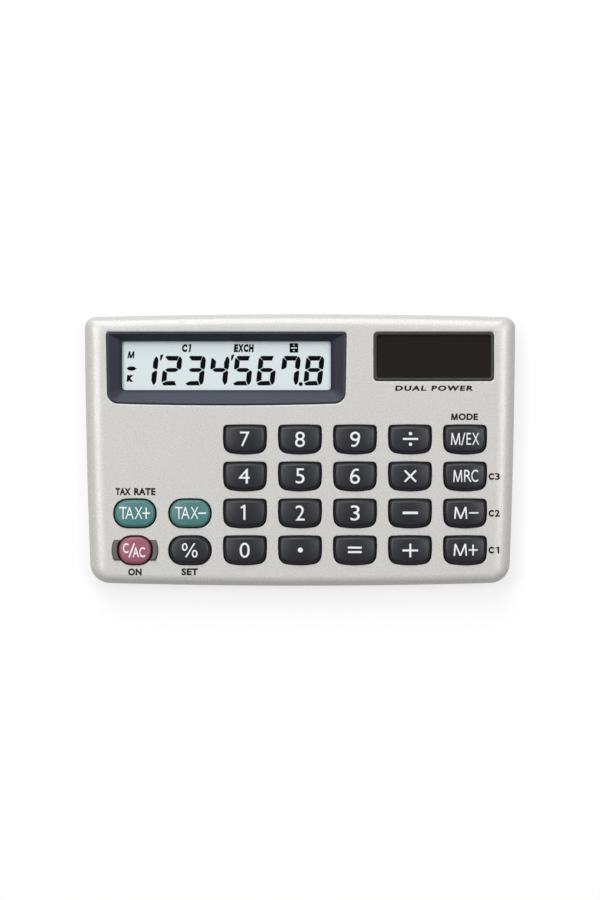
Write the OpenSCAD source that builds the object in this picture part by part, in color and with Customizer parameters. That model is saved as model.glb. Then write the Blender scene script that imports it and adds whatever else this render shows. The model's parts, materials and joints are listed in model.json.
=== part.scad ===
// Pocket calculator: a bowed two-part case with push keys, a liquid-crystal display, a solar cell and
// a button cell. Lengths are in millimetres. It lies on its back: X runs left to right across the keys,
// Y from the front edge to the display edge, Z up through the keys, and the origin is under its middle.

/* [Keypad] */
// Width of a rectangular or oval key
key_w = 10.2; // [9.4:0.1:11.4]
// Depth of a key, front to back
key_d = 6.95; // [6.3:0.05:7.5]
// Width of the clear key
clear_key_w = 8.25; // [7.6:0.05:9]
// Column spacing, centre to centre
pitch_x = 13.4; // [12.8:0.1:15]
// Row spacing, centre to centre
pitch_y = 9.0; // [8.7:0.05:10.5]
// Height of a key above the face
key_rise = 1.0; // [0.6:0.05:1.6]
// Distance a key goes down when it is pressed
key_travel = 0.9; // [0.5:0.05:1.2]
// Gap all round between a key and its hole
key_gap = 0.2; // [0.1:0.01:0.3]
// Width of the flange that keeps a key in the case
flange_w = 0.5; // [0.35:0.05:0.6]
// Thickness of that flange
flange_t = 0.6; // [0.4:0.05:0.9]
// Sag of a key's crowned top over half its width
key_crown = 0.4; // [0.1:0.02:0.5]
// Rounding of a key's upper edge
key_edge = 0.6; // [0.2:0.02:0.7]
// Lean of a key's sides from foot to top
key_draft = 0.2; // [0:0.05:0.3]
// Narrowing of each side of a rectangular key from back to front
key_narrow = 0.05; // [0:0.05:0.4]
// Wall of the hollow key cap
key_wall = 1.0; // [0.7:0.05:1.4]
// Width of the guard beside the clear key
guard_w = 1.45; // [1.2:0.05:1.7]
// Height of that guard above the face
guard_rise = 0.55; // [0.3:0.05:0.9]

/* [Case] */
// Margin between the outer keys and the inside of the case's wall at its front end
side_margin = 4.3; // [4:0.1:7]
// Margin between the front keys and the case's front edge
front_margin = 5.2; // [4.6:0.05:8]
// Gap between the back keys and the display bezel
display_gap = 4.9; // [4:0.05:8]
// Margin between the bezels and the case's back edge
back_margin = 4.4; // [4:0.1:7]
// Margin between the bezels and the case's sides
panel_margin = 5.3; // [4.8:0.1:8]
// Narrowing of each side from back to front
taper = 1.3; // [0.5:0.1:2]
// Bow of the back edge
bow_back = 0.75; // [0.2:0.05:1.2]
// Bow of the front edge
bow_front = 0.8; // [0.2:0.05:1.3]
// Bow of each side
bow_side = 0.3; // [0.1:0.05:0.6]
// Corner radius at the back
corner_back = 2.6; // [2.2:0.1:5]
// Corner radius at the front
corner_front = 4.9; // [3:0.1:6.5]
// Width of the soft shoulder along the sides of the face
shoulder_w = 4.4; // [2:0.1:4.6]
// Width of the soft shoulder along the back of the face
shoulder_d = 3.3; // [2:0.1:3.6]
// Width of the soft shoulder along the front of the face
shoulder_front = 2.4; // [2:0.1:3.6]
// Drop of that shoulder
shoulder_h = 2.3; // [1:0.1:2.8]
// Width of the rounding round the rear cover
belly_w = 2.0; // [1:0.1:2.3]
// Height of that rounding
belly_h = 1.7; // [0.8:0.1:2.2]
// Wall of the front case
wall_t = 1.6; // [1.3:0.1:2]
// Thickness of the face plate
plate_t = 1.3; // [1:0.05:1.8]
// Thickness of the rear cover's floor
floor_t = 1.4; // [1.2:0.05:2]
// Height of the seam above the table
seam_z = 3.2; // [2.9:0.05:3.6]
// Gap of the seam
seam_gap = 0.12; // [0.05:0.01:0.25]

/* [Display and solar cell] */
// Width of the display bezel
bezel_w = 58.5; // [54:0.5:64]
// Depth of the display bezel, front to back
bezel_d = 17.8; // [16.5:0.1:21]
// Width of the part of the display in view
view_w = 50.9; // [48:0.1:53]
// Depth of the part in view, front to back
view_d = 11.9; // [10:0.1:13]
// Distance from the bezel's back edge to the part in view
view_back = 2.2; // [1.6:0.1:2.8]
// Gap between the display bezel and the solar bezel
panel_gap = 6.7; // [5:0.1:12]
// Width of the solar bezel
solar_w = 29.2; // [24:0.2:36]
// Depth of the solar bezel, front to back
solar_d = 11.9; // [10:0.1:15]
// Width of the solar bezel's rim
solar_rim = 0.75; // [0.5:0.05:1.2]
// Depth of the solar window below the face
solar_sink = 0.6; // [0.3:0.05:0.7]
// Thickness of the clear windows
window_t = 0.8; // [0.5:0.05:1]
// Thickness of each sheet of display glass
glass_t = 0.55; // [0.4:0.05:0.7]
// Thickness of the solar cell's glass
solar_t = 1.1; // [0.7:0.1:1.5]

/* [Inside] */
// Diameter of the button cell
cell_dia = 11.6; // [9.5:0.1:12.5]
// Height of the button cell
cell_h = 3.05; // [2.1:0.05:3.6]
// Room between the rear cover and the circuit board
under_board = 2.0; // [1.8:0.05:3]
// Thickness of the circuit board
board_t = 1.0; // [0.8:0.1:1.6]
// Thickness of the rubber keypad's sheet
mat_t = 0.55; // [0.4:0.05:0.8]
// Height of a rubber dome that is pressed flat
dome_flat = 0.2; // [0.15:0.05:0.4]
// Shank diameter of the case screws
screw_dia = 1.7; // [1.4:0.1:1.8]

/* [Hidden] */
$fn = 48;
touch = 0.02;
fit = 0.1;

// Case outline, worked out from what has to fit on the face
keys_w = 6 * pitch_x + key_w + 2 * (side_margin + wall_t + taper);
panels_w = bezel_w + panel_gap + solar_w + 2 * panel_margin;
body_w = max(keys_w, panels_w);
body_d = front_margin + 3 * pitch_y + key_d + display_gap + bezel_d + back_margin;

// Levels, from the table up
board_z = floor_t + under_board;
mat_z = board_z + board_t + touch;
dome_z = mat_z + mat_t;
dome_h = key_travel + dome_flat;
key_z = dome_z + dome_h + touch;
ceiling_z = key_z + flange_t + 2 * touch;
face_z = ceiling_z + plate_t;
key_top_z = face_z + key_rise;

// Key places: column 0 is at the left and row 0 is at the back
function key_x(column) = (column - 3) * pitch_x;
function key_y(row) = front_margin - body_d / 2 + key_d / 2 + (3 - row) * pitch_y;

KEYS = [
  ["key_7", 2, 0, "wide"], ["key_8", 3, 0, "wide"], ["key_9", 4, 0, "wide"],
  ["key_divide", 5, 0, "wide"], ["key_memory_exchange", 6, 0, "wide"],
  ["key_4", 2, 1, "wide"], ["key_5", 3, 1, "wide"], ["key_6", 4, 1, "wide"],
  ["key_multiply", 5, 1, "wide"], ["key_memory_recall", 6, 1, "wide"],
  ["key_tax_plus", 0, 2, "oval"], ["key_tax_minus", 1, 2, "oval"],
  ["key_1", 2, 2, "wide"], ["key_2", 3, 2, "wide"], ["key_3", 4, 2, "wide"],
  ["key_minus", 5, 2, "wide"], ["key_memory_minus", 6, 2, "wide"],
  ["key_clear", 0, 3, "clear"], ["key_percent", 1, 3, "oval"],
  ["key_0", 2, 3, "wide"], ["key_point", 3, 3, "wide"], ["key_equals", 4, 3, "wide"],
  ["key_plus", 5, 3, "wide"], ["key_memory_plus", 6, 3, "wide"]
];
KEY_NAMES = [for (k = KEYS) k[0]];
clear_xy = [key_x(0), key_y(3)];
guard_r = clear_key_w / 2 + guard_w;
guard_half_d = 0.34 * key_d;

// Corner radii and bows of the keys' outlines
key_corner_back = 0.75;
key_corner_front = 2.0;
key_bow_back = 0.16;
key_bow_front = 0.7;
key_bow_side = 0.34;
oval_corner = 3.2;
oval_bow = 0.3;
clear_bow = 0.35;
corner_least = 0.3;

// Rubber domes, the carbon pills in them and the plungers that press them
dome_foot_r = 2.9;
dome_top_r = 1.9;
dome_skin = 0.4;
pill_r = 1.25;
pill_h = 0.3;
plunger_r = 1.5;
plunger_cap = 0.8;

// Display and solar panel places
bezel_flange = 0.8;
bezel_flange_t = 0.45;
bezel_corner_back = 0.75;
bezel_corner_front = 2.7;
bezel_bow = 0.5;
bezel_narrow = 0.25;
view_corner_back = 0.4;
view_corner_front = 0.8;
solar_corner = 1.0;
flat_bow = 0.01;
bezel_xy = [panel_margin + bezel_w / 2 - body_w / 2, body_d / 2 - back_margin - bezel_d / 2];
view_xy = [bezel_xy.x, bezel_xy.y + bezel_d / 2 - view_back - view_d / 2];
solar_xy = [body_w / 2 - panel_margin - solar_w / 2, body_d / 2 - back_margin - solar_d / 2];
bezel_z = ceiling_z - touch - bezel_flange_t;
window_z = bezel_z - touch - window_t;
polariser_t = 0.2;
front_polariser_z = window_z - touch - polariser_t;
glass_z = front_polariser_z - touch - 2 * glass_t;
reflector_z = glass_z - touch - polariser_t;
glass_w = view_w + 4.6;
glass_d = view_d + 3.2;
glass_ledge = 2.2;
cushion_w = view_w - 4.9;
cushion_d = 2.4;
cushion_y = 4.2;
ribbon_w = 26;
solar_cell_z = bezel_z - touch - solar_t;

// Circuit board: two joined rectangles that leave the corner beside the digits to the button cell
board_right = key_x(6) + key_w / 2 + flange_w + 0.1;
board_front = key_y(3) - key_d / 2 - flange_w - 0.4;
glass_front = view_xy.y - glass_d / 2 - glass_ledge;
board_back = min(bezel_xy.y - bezel_d / 2 - bezel_flange - 0.6, glass_front - 0.8);
board_land = 3.5;
mat_notch = [key_x(2) - key_w / 2 - flange_w - 0.3, key_y(2) + key_d / 2 + flange_w + 0.3];
board_notch = mat_notch - [board_land, 0];
mat_back = key_y(0) + key_d / 2 + flange_w + 0.4;

// Button cell, its pocket and its hatch
cell_r = cell_dia / 2;
cell_xy = board_notch + [-cell_r - 5.5, cell_r + 4.5];
cell_lift = 0.2;
cell_z = floor_t + cell_lift;
pocket_r = cell_r + 0.25;
pocket_wall = 1.0;
hatch_t = 0.75;
hatch_web = 0.3;
hatch_head_h = 0.35;
hatch_w = cell_dia + 3.4;
hatch_front = cell_xy.y - cell_r - 2.0;
hatch_back = cell_xy.y + cell_r + 6.2;
hatch_screw_xy = [cell_xy.x, cell_xy.y + cell_r + 3.6];
label_w = 34;
label_d = 20;
label_corner = 1.0;
label_depth = 0.15;
label_xy = [key_x(4.6), key_y(1.5)];

// Screws and what they go into
head_r = 1.4;
head_h = 0.7;
head_sink = 1.0;
post_r = screw_dia / 2 + 0.75;
lip_t = 0.7;
lip_h = 0.9;
boss_z = seam_z + lip_h + fit;
post_inset = wall_t + fit + post_r;
post_back_y = bezel_xy.y - bezel_d / 2 - bezel_flange - post_r - 0.6;
post_front_y = key_y(3) - 0.35 * key_d;
POSTS = [for (side = [-1, 1])
  each [[side * (side_x(post_back_y) - post_inset), post_back_y],
        [side * (side_x(post_front_y) - post_inset), post_front_y]]];
screw_top_z = ceiling_z - 0.9;
pin_r = 0.7;
board_pins = [for (x = [1.5, 4.5], y = [0.5, 2.5]) [key_x(x + 1), key_y(y)]];
rib_t = (pitch_x - key_w - 2 * flange_w) / 2;
board_props = [for (x = [1.5, 3.5, 5.5], y = [1, 3]) [key_x(x + (x < 2 ? 1 : 0)), key_y(y)]];

// Half width of the case at a place along Y, a little inside its bowed side
function side_x(y) = body_w / 2 - taper * (body_d / 2 - y) / body_d;

// Radius of an arc from its half chord and its bow
function bow_radius(half, bow) = (half * half + bow * bow) / (2 * bow);

// Points of an arc about c, without its last point
function arc(c, r, from, to, n) =
  [for (i = [0 : n - 1]) let (a = from + (to - from) * i / n) c + r * [cos(a), sin(a)]];

// Closed outline of eight arcs, each tangent to the next: bowed back, front and sides, rounded corners
function outline(w, d, r_back, r_front, back = flat_bow, front = flat_bow, side = flat_bow, narrow = 0,
                 n = [4, 2]) =
  let (
    rb = min(r_back, 0.47 * d),
    rf = min(r_front, 0.47 * d),
    back_r = bow_radius(w / 2, back),
    front_r = bow_radius(w / 2 - narrow, front),
    side_r = bow_radius(d / 2, side),
    back_c = [0, d / 2 - back_r],
    front_c = [0, front_r - d / 2],
    cb = [w / 2 - rb, back_c.y + sqrt((back_r - rb) ^ 2 - (w / 2 - rb) ^ 2)],
    cf = [w / 2 - narrow - rf, front_c.y - sqrt((front_r - rf) ^ 2 - (w / 2 - narrow - rf) ^ 2)],
    run = norm(cb - cf),
    up = (cb - cf) / run,
    along = ((side_r - rf) ^ 2 - (side_r - rb) ^ 2 + run * run) / (2 * run),
    side_c = cf + along * up + sqrt((side_r - rf) ^ 2 - along * along) * [-up.y, up.x],
    front_a = atan2(cf.y - front_c.y, cf.x),
    low_a = atan2(cf.y - side_c.y, cf.x - side_c.x),
    high_a = atan2(cb.y - side_c.y, cb.x - side_c.x),
    back_a = atan2(cb.y - back_c.y, cb.x),
    right = concat(
      arc(front_c, front_r, -90, front_a, n[1]),
      arc(cf, rf, front_a, low_a, n[0]),
      arc(side_c, side_r, low_a, high_a, n[1]),
      arc(cb, rb, high_a, back_a, n[0]),
      arc(back_c, back_r, back_a, 90, n[1]))
  )
  concat(right, [[0, d / 2]], [for (i = [len(right) - 1 : -1 : 1]) [-right[i].x, right[i].y]]);

// Case outline at an inset from the sides, the back and the front, with corners of at least the radius given
function case_outline(inset, least = 0.5, back_inset = undef, front_inset = undef) =
  let (
    back = is_undef(back_inset) ? inset : back_inset,
    front = is_undef(front_inset) ? inset : front_inset,
    plan = outline(body_w - 2 * inset, body_d - back - front, max(corner_back - inset, least),
                   max(corner_front - inset, least), bow_back, bow_front, bow_side, taper, [5, 5])
  )
  [for (p = plan) p + [0, (front - back) / 2]];

// Outline of each kind of key, grown on all sides
function key_outline(kind, grow = 0) =
  let (
    w = (kind == "clear" ? clear_key_w : key_w) + 2 * grow,
    d = key_d + 2 * grow,
    r = oval_corner + grow
  )
  kind == "wide" ? outline(w, d, max(key_corner_back + grow, corner_least), key_corner_front + grow,
                           key_bow_back, key_bow_front, key_bow_side, key_narrow) :
  kind == "oval" ? outline(w, d, r, r, oval_bow, oval_bow, oval_bow) :
  outline(w, d, r, r, clear_bow, clear_bow, oval_bow);

function bezel_outline(grow = 0) =
  outline(bezel_w + 2 * grow, bezel_d + 2 * grow, max(bezel_corner_back + grow, corner_least),
          bezel_corner_front + grow, 2 * flat_bow, bezel_bow, flat_bow, bezel_narrow);
function view_outline(grow = 0) =
  outline(view_w + 2 * grow, view_d + 2 * grow, view_corner_back + grow, view_corner_front + grow);
function solar_outline(grow = 0) =
  let (r = max(solar_corner + grow / 2, corner_least))
  outline(solar_w + 2 * grow, solar_d + 2 * grow, r, r);

function raised(points, z) = [for (p = points) [p.x, p.y, z]];

// Solid through rings of points, from the lowest ring to the highest
module loft(rings) {
  n = len(rings[0]);
  last = (len(rings) - 1) * n;
  points = [for (ring = rings) each ring];
  sides = [for (k = [0 : n : last - 1], i = [0 : n - 1])
    each let (a = k + i, b = k + (i + 1) % n) [[a, a + n, b + n], [a, b + n, b]]];
  low = [for (i = [0 : n - 1]) i];
  high = [for (i = [n - 1 : -1 : 0]) last + i];
  polyhedron(points, concat(sides, [low, high]));
}

module slab(points, z, h) {
  translate([0, 0, z])
    linear_extrude(h)
      polygon(points);
}

module at(xy, z = 0) {
  translate([xy.x, xy.y, z])
    children();
}

module block(x, y, z) {
  translate([x[0], y[0], z[0]])
    cube([x[1] - x[0], y[1] - y[0], z[1] - z[0]]);
}

// Pan-head screw with a cross recess, head down, its head's top face at z
module screw(z, top, h = head_h) {
  difference() {
    union() {
      translate([0, 0, z])
        cylinder(r = head_r, h = h);
      translate([0, 0, z + h / 2])
        cylinder(d = screw_dia, h = top - z - h / 2);
    }
    for (turn = [0, 90])
      rotate(turn)
        translate([0, 0, z])
          cube([1.5, 0.35, h], center = true);
  }
}

// Plan of the guard lobes on both sides of the clear key
module guard_plan(grow = 0) {
  intersection() {
    circle(r = guard_r + grow);
    square([4 * guard_r, 2 * guard_half_d + 2 * grow], center = true);
  }
}

module key_hole(k) {
  at([key_x(k[1]), key_y(k[2])], ceiling_z - 1)
    linear_extrude(plate_t + 2)
      union() {
        polygon(key_outline(k[3], key_gap));
        if (k[3] == "clear")
          guard_plan(fit);
      }
}

// Rib under the face between two columns, from the front row to the row given, that holds the keypad down
module rib(gap, row) {
  block([key_x(gap) - rib_t / 2, key_x(gap) + rib_t / 2], [key_y(3), key_y(row)],
        [dome_z + touch, ceiling_z + 0.3]);
}

// Snap ridges along the back of the rear cover's lip, and the notches that they click into
module snap_ridges(length, out, z, h) {
  for (x = [-0.45, 0.12, 0.34])
    block([x * body_w - length / 2, x * body_w + length / 2],
          [back_y(x * body_w) - wall_t - fit - 0.3, back_y(x * body_w) - wall_t - fit + out], [z, z + h]);
}
function back_y(x) = let (r = bow_radius(body_w / 2, bow_back)) body_d / 2 - r + sqrt(r * r - x * x);

// Upper shell: face plate with its key holes, soft shoulder, side walls, ribs, screw bosses and pins
module front_case() {
  steps = 5;
  rings = concat(
    [raised(case_outline(0), seam_z)],
    [for (i = [0 : steps]) let (a = 90 * i / steps, share = 1 - cos(a))
      raised(case_outline(shoulder_w * share, 2, shoulder_d * share, shoulder_front * share),
             face_z - shoulder_h * (1 - sin(a)))]);
  color("#d6d5d0")
    union() {
      difference() {
        loft(rings);
        slab(case_outline(wall_t), seam_z - 1, ceiling_z - seam_z + 1);
        for (k = KEYS)
          key_hole(k);
        at(bezel_xy)
          slab(bezel_outline(fit / 2), ceiling_z - 1, plate_t + 2);
        at(solar_xy)
          slab(solar_outline(fit / 2), ceiling_z - 1, plate_t + 2);
        snap_ridges(7, 0.6, seam_z + 0.25, 0.6);
      }
      difference() {
        for (p = POSTS)
          at(p, boss_z)
            cylinder(r = post_r, h = ceiling_z - boss_z + 0.3);
        for (p = POSTS)
          at(p, boss_z - 1)
            cylinder(d = screw_dia, h = ceiling_z - boss_z + 0.3);
      }
      for (gap = [2.5 : 5.5])
        rib(gap, 0);
      for (gap = [0.5, 1.5])
        rib(gap, 2);
      for (p = board_pins)
        at(p, board_z - 0.4)
          cylinder(r = pin_r, h = ceiling_z - board_z + 0.7);
    }
}

// Lower shell: floor with a rounded edge, lip, screw posts, board props and the button-cell pocket
module rear_cover() {
  steps = 4;
  rings = concat(
    [for (i = [0 : steps]) let (a = 90 * i / steps)
      raised(case_outline(belly_w * (1 - sin(a)), 2), belly_h * (1 - cos(a)))],
    [raised(case_outline(0), seam_z - seam_gap)]);
  lip_inset = wall_t + fit;
  color("#8d8d8b")
    difference() {
      union() {
        difference() {
          union() {
            loft(rings);
            slab(case_outline(lip_inset), floor_t + 0.3, seam_z + lip_h - floor_t - 0.3);
          }
          slab(case_outline(lip_inset + lip_t), floor_t, seam_z + lip_h);
        }
        snap_ridges(6, 0.35, seam_z + 0.35, 0.4);
        for (p = POSTS)
          at(p, floor_t - 0.2)
            cylinder(r = post_r, h = boss_z - touch - floor_t + 0.2);
        for (p = board_props)
          at(p, floor_t - 0.2)
            cylinder(r = 1.3, h = board_z - touch - floor_t + 0.2);
        at(hatch_screw_xy, floor_t - 0.2)
          cylinder(r = post_r, h = under_board + 0.6);
        at(cell_xy, floor_t - 0.2)
          cylinder(r = pocket_r + pocket_wall, h = cell_lift + cell_h - 0.4);
      }
      for (p = POSTS)
        at(p) {
          translate([0, 0, -1])
            cylinder(d = screw_dia + 0.2, h = boss_z + 1);
          translate([0, 0, -1])
            cylinder(r = head_r + 0.2, h = 1 + head_sink);
        }
      at(cell_xy)
        cylinder(r = pocket_r, h = face_z);
      block([cell_xy.x - 2.8, cell_xy.x + 2.8], [cell_xy.y - pocket_r - 2, cell_xy.y - cell_r + 1],
            [floor_t + touch, face_z]);
      slab(hatch_outline(fit), -1, 1 + hatch_t + fit);
      block([cell_xy.x - 3.2, cell_xy.x + 3.2], [hatch_front + 0.4, cell_xy.y], [0, face_z]);
      at(hatch_screw_xy, -1)
        cylinder(d = screw_dia, h = 1 + floor_t + under_board);
      label_recess();
    }
}

// Shallow bare recess for a rating label
module label_recess() {
  at(label_xy)
    slab(outline(label_w, label_d, label_corner, label_corner), -1, 1 + label_depth);
}

function hatch_outline(grow) =
  [for (p = outline(hatch_w + 2 * grow, hatch_back - hatch_front + 2 * grow, 1.5, 1.5))
    p + [cell_xy.x, (hatch_back + hatch_front) / 2]];

// Four identical screws that hold the rear cover to the front case
module case_screws() {
  color("#a9abad")
    for (p = POSTS)
      at(p)
        screw(head_sink - head_h, screw_top_z);
}

// Hatch over the button cell: a plate with a hooked tab at one end and a screw ear at the other
module battery_cover() {
  tab_x = [cell_xy.x - 2.9, cell_xy.x + 2.9];
  color("#8d8d8b")
    difference() {
      union() {
        slab(hatch_outline(-fit), 0.1, hatch_t - 0.1);
        block(tab_x, [hatch_front + 0.6, hatch_front + 1.5], [0.3, floor_t + 0.6]);
        block(tab_x, [hatch_front - 0.8, hatch_front + 1.5], [floor_t + 0.1, floor_t + 0.6]);
      }
      at(hatch_screw_xy, -1)
        cylinder(d = screw_dia + 0.3, h = 3);
      at(hatch_screw_xy, -1)
        cylinder(r = head_r + 0.2, h = 1 + hatch_t - hatch_web);
    }
}

// Screw of the battery cover
module battery_cover_screw() {
  color("#a9abad")
    at(hatch_screw_xy)
      screw(hatch_t - hatch_web - touch - hatch_head_h, floor_t + under_board - 0.4, hatch_head_h);
}

// Dark frame round the display: a flat rim and a funnel that slopes down to the window
module display_bezel() {
  lip = 0.15;
  rim = 0.45;
  to_view = view_xy - bezel_xy;
  color("#4a4b57")
    at(bezel_xy)
      difference() {
        union() {
          slab(bezel_outline(), bezel_z, face_z - bezel_z);
          slab(bezel_outline(bezel_flange), bezel_z, bezel_flange_t);
        }
        loft([
          raised([for (p = view_outline()) p + to_view], bezel_z + lip),
          raised(bezel_outline(-rim), face_z),
          raised(bezel_outline(-rim), face_z + 1)]);
        at(to_view)
          slab(view_outline(), bezel_z - 1, 2);
      }
}

// Clear pane bonded under the display bezel
module display_window() {
  color("#dfe8ea", 0.4)
    at(view_xy)
      slab(view_outline(1.6), window_z, window_t);
}

// Upper polarising film
module front_polariser() {
  color("#c3d0cc", 0.7)
    at(view_xy)
      slab(view_outline(1.2), front_polariser_z, polariser_t);
}

// Two bonded glass sheets, the lower one with a contact ledge along its front edge
module display_glass() {
  color("#d5e4e3")
    at(view_xy)
      union() {
        block([-glass_w / 2, glass_w / 2], [-glass_d / 2, glass_d / 2], [glass_z, glass_z + 2 * glass_t]);
        block([-glass_w / 2, glass_w / 2], [-glass_d / 2 - glass_ledge, glass_d / 2],
              [glass_z, glass_z + glass_t]);
      }
}

// Lower polarising film with its reflector
module rear_reflector() {
  color("#bcc4c2")
    at(view_xy)
      slab(view_outline(1.2), reflector_z, polariser_t);
}

// Two foam strips on the rear cover that press the glass up against the bezel
module display_cushion() {
  color("#3a3a3a")
    for (side = [-1, 1])
      at(view_xy + [0, side * cushion_y])
        block([-cushion_w / 2, cushion_w / 2], [-cushion_d / 2, cushion_d / 2],
              [floor_t + touch, reflector_z - touch]);
}

// Printed film that joins the glass ledge to the circuit board
module display_ribbon() {
  film = 0.12;
  low = board_z + board_t + touch;
  high = glass_z + glass_t + touch;
  path = [[mat_back + 0.4, low], [board_back + 0.3, low], [glass_front - 0.1, high],
          [glass_front + glass_ledge - 0.3, high]];
  strip = concat(path, [for (i = [3 : -1 : 0]) path[i] + [0, film]]);
  color("#3d3a36")
    translate([board_notch.x + 1.5, 0, 0])
      rotate([90, 0, 90])
        linear_extrude(ribbon_w)
          polygon(strip);
}

// Frame of the solar panel, with a lip over the clear window
module solar_bezel() {
  color("#474845")
    at(solar_xy)
      difference() {
        union() {
          slab(solar_outline(), bezel_z, face_z - bezel_z);
          slab(solar_outline(bezel_flange), bezel_z, bezel_flange_t);
        }
        slab(solar_outline(-solar_rim), bezel_z - 1, face_z);
        slab(solar_outline(0.25 - solar_rim), bezel_z - 1, face_z - solar_sink - bezel_z + 1);
      }
}

// Clear pane in the solar bezel
module solar_window() {
  color("#5b4f4a", 0.5)
    at(solar_xy)
      slab(solar_outline(0.2 - solar_rim), face_z - solar_sink - touch - window_t, window_t);
}

// Amorphous solar cell on glass
module solar_cell() {
  color("#2b2624")
    at(solar_xy)
      block([-solar_w / 2 - 0.4, solar_w / 2 + 0.4], [-solar_d / 2 - 0.4, solar_d / 2 + 0.4],
            [solar_cell_z, solar_cell_z + solar_t]);
}

// Two insulated wires from the solar cell to the circuit board, each with a drop of solder at its ends
module solar_leads() {
  lead_r = 0.35;
  solder_r = 0.5;
  solder_h = 0.85;
  slack = 0.1;
  board_end = [board_back - 0.8, board_z + board_t + touch + slack + lead_r];
  cell_end = [solar_xy.y - solar_d / 2 + 0.6, solar_cell_z - touch - slack - lead_r];
  tilt = atan2(cell_end.y - board_end.y, cell_end.x - board_end.x);
  color("#a8322c")
    for (x = [-13, 5])
      at([solar_xy.x + x, 0]) {
        translate([0, board_end.x, board_end.y])
          rotate([tilt - 90, 0, 0])
            cylinder(r = lead_r, h = norm(cell_end - board_end));
        translate([0, board_end.x, board_end.y - slack - lead_r])
          cylinder(r = solder_r, h = solder_h);
        translate([0, cell_end.x, cell_end.y + slack + lead_r - solder_h])
          cylinder(r = solder_r, h = solder_h);
      }
}

// Circuit board with holes for the locating pins
module main_board() {
  color("#7a6a3a")
    difference() {
      union() {
        block([board_notch.x, board_right], [board_front, board_back], [board_z, board_z + board_t]);
        block([-board_right, board_right], [board_front, board_notch.y], [board_z, board_z + board_t]);
      }
      for (p = board_pins)
        at(p, board_z - 1)
          cylinder(r = pin_r + fit, h = board_t + 2);
    }
}

// Drop of black epoxy over the chip, under the board
module chip_cover() {
  drop_r = 4.2;
  drop_h = 1.1;
  profile = [for (a = [0 : 15 : 90]) [drop_r * sin(a), -drop_h * cos(a)]];
  color("#1c1c1e")
    at([key_x(3), key_y(2)], board_z - touch)
      rotate_extrude()
        polygon(concat([[0, 0]], profile));
}

// Block capacitor under the board
module capacitor() {
  color("#b98a3c")
    at([key_x(5), key_y(0.5)])
      block([-1.75, 1.75], [-1.4, 1.4], [board_z - touch - 1.5, board_z - touch]);
}

// Diode that limits the solar voltage, under the board
module clamp_diode() {
  color("#2a2a2c")
    at([key_x(5), key_y(2.4)])
      block([-1.3, 1.3], [-0.8, 0.8], [board_z - touch - 1.1, board_z - touch]);
}

// Alkaline button cell: a can with a smaller cap on its upper side
module button_cell() {
  cap_h = 0.35;
  color("#c4c6c8")
    at(cell_xy, cell_z)
      union() {
        cylinder(r = cell_r, h = cell_h - cap_h);
        cylinder(r = cell_r - 1.2, h = cell_h);
      }
}

// Steel strip from the circuit board to the side of the cell's can
module positive_contact() {
  strip_t = 0.2;
  wall_y = cell_xy.y - cell_r - touch - strip_t;
  low = board_z - touch - strip_t;
  color("#b9b3a2")
    at([cell_xy.x, 0])
      union() {
        block([-2, 2], [board_notch.y - 3, wall_y + strip_t], [low, low + strip_t]);
        block([-2, 2], [wall_y, wall_y + strip_t], [cell_z + 0.3, low + strip_t]);
      }
}

// Steel strip from the circuit board over the cell's cap
module negative_contact() {
  strip_t = 0.2;
  foot = board_z + board_t + touch;
  arm = max(foot, cell_z + cell_h) + 0.25;
  x = board_notch.x;
  color("#b9b3a2")
    at([0, cell_xy.y])
      union() {
        block([x + 0.3, x + 2.9], [-2, 2], [foot, foot + strip_t]);
        block([x + 0.3, x + 0.5], [-2, 2], [foot, arm + strip_t]);
        block([cell_xy.x - 2, x + 0.5], [-2, 2], [arm, arm + strip_t]);
        translate([cell_xy.x, 0, cell_z + cell_h + touch])
          cylinder(r = 1, h = arm + 0.1 - cell_z - cell_h - touch);
      }
}

// Rubber dome under a key, or with a cut the hollow in it
module dome(cut) {
  cylinder(r1 = dome_foot_r - cut, r2 = dome_top_r - cut, h = dome_h - cut);
}

// Silicone sheet with a dome under every key
module rubber_keypad() {
  color("#9a9a94")
    difference() {
      union() {
        block([mat_notch.x, board_right - 0.2], [board_front + 0.2, mat_back], [mat_z, dome_z]);
        block([0.2 - board_right, board_right - 0.2], [board_front + 0.2, mat_notch.y], [mat_z, dome_z]);
        for (k = KEYS)
          at([key_x(k[1]), key_y(k[2])], dome_z)
            dome(0);
      }
      for (k = KEYS)
        at([key_x(k[1]), key_y(k[2])]) {
          translate([0, 0, dome_z])
            dome(dome_skin);
          translate([0, 0, mat_z - 1])
            cylinder(r = dome_foot_r - dome_skin, h = mat_t + 1);
        }
      for (p = board_pins)
        at(p, mat_z - 1)
          cylinder(r = pin_r + fit, h = mat_t + 2);
    }
}

// Conductive carbon pills under the tops of the domes
module contact_pills() {
  color("#222224")
    for (k = KEYS)
      at([key_x(k[1]), key_y(k[2])], dome_z + dome_h - dome_skin - pill_h - touch)
        cylinder(r = pill_r, h = pill_h);
}

// Two raised lobes beside the clear key, each on a foot under the face
module clear_key_guard() {
  stem_x = clear_key_w / 2 + flange_w + 0.2;
  foot_x = guard_r + 0.3;
  color("#6b6b68")
    at(clear_xy)
      for (side = [0, 180])
        rotate(side)
          union() {
            block([stem_x, foot_x], [-2.6, 2.6], [ceiling_z - touch - 0.45, ceiling_z - touch]);
            translate([0, 0, ceiling_z + touch])
              linear_extrude(plate_t - touch + guard_rise)
                intersection() {
                  difference() {
                    guard_plan();
                    polygon(key_outline("clear", key_gap));
                  }
                  translate([0, -guard_r])
                    square(2 * guard_r);
                }
            intersection() {
              translate([0, 0, ceiling_z - 0.3])
                linear_extrude(0.6)
                  guard_plan();
              block([stem_x, foot_x], [-0.75 * guard_half_d, 0.75 * guard_half_d], [ceiling_z - 1, face_z]);
            }
          }
}

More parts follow.
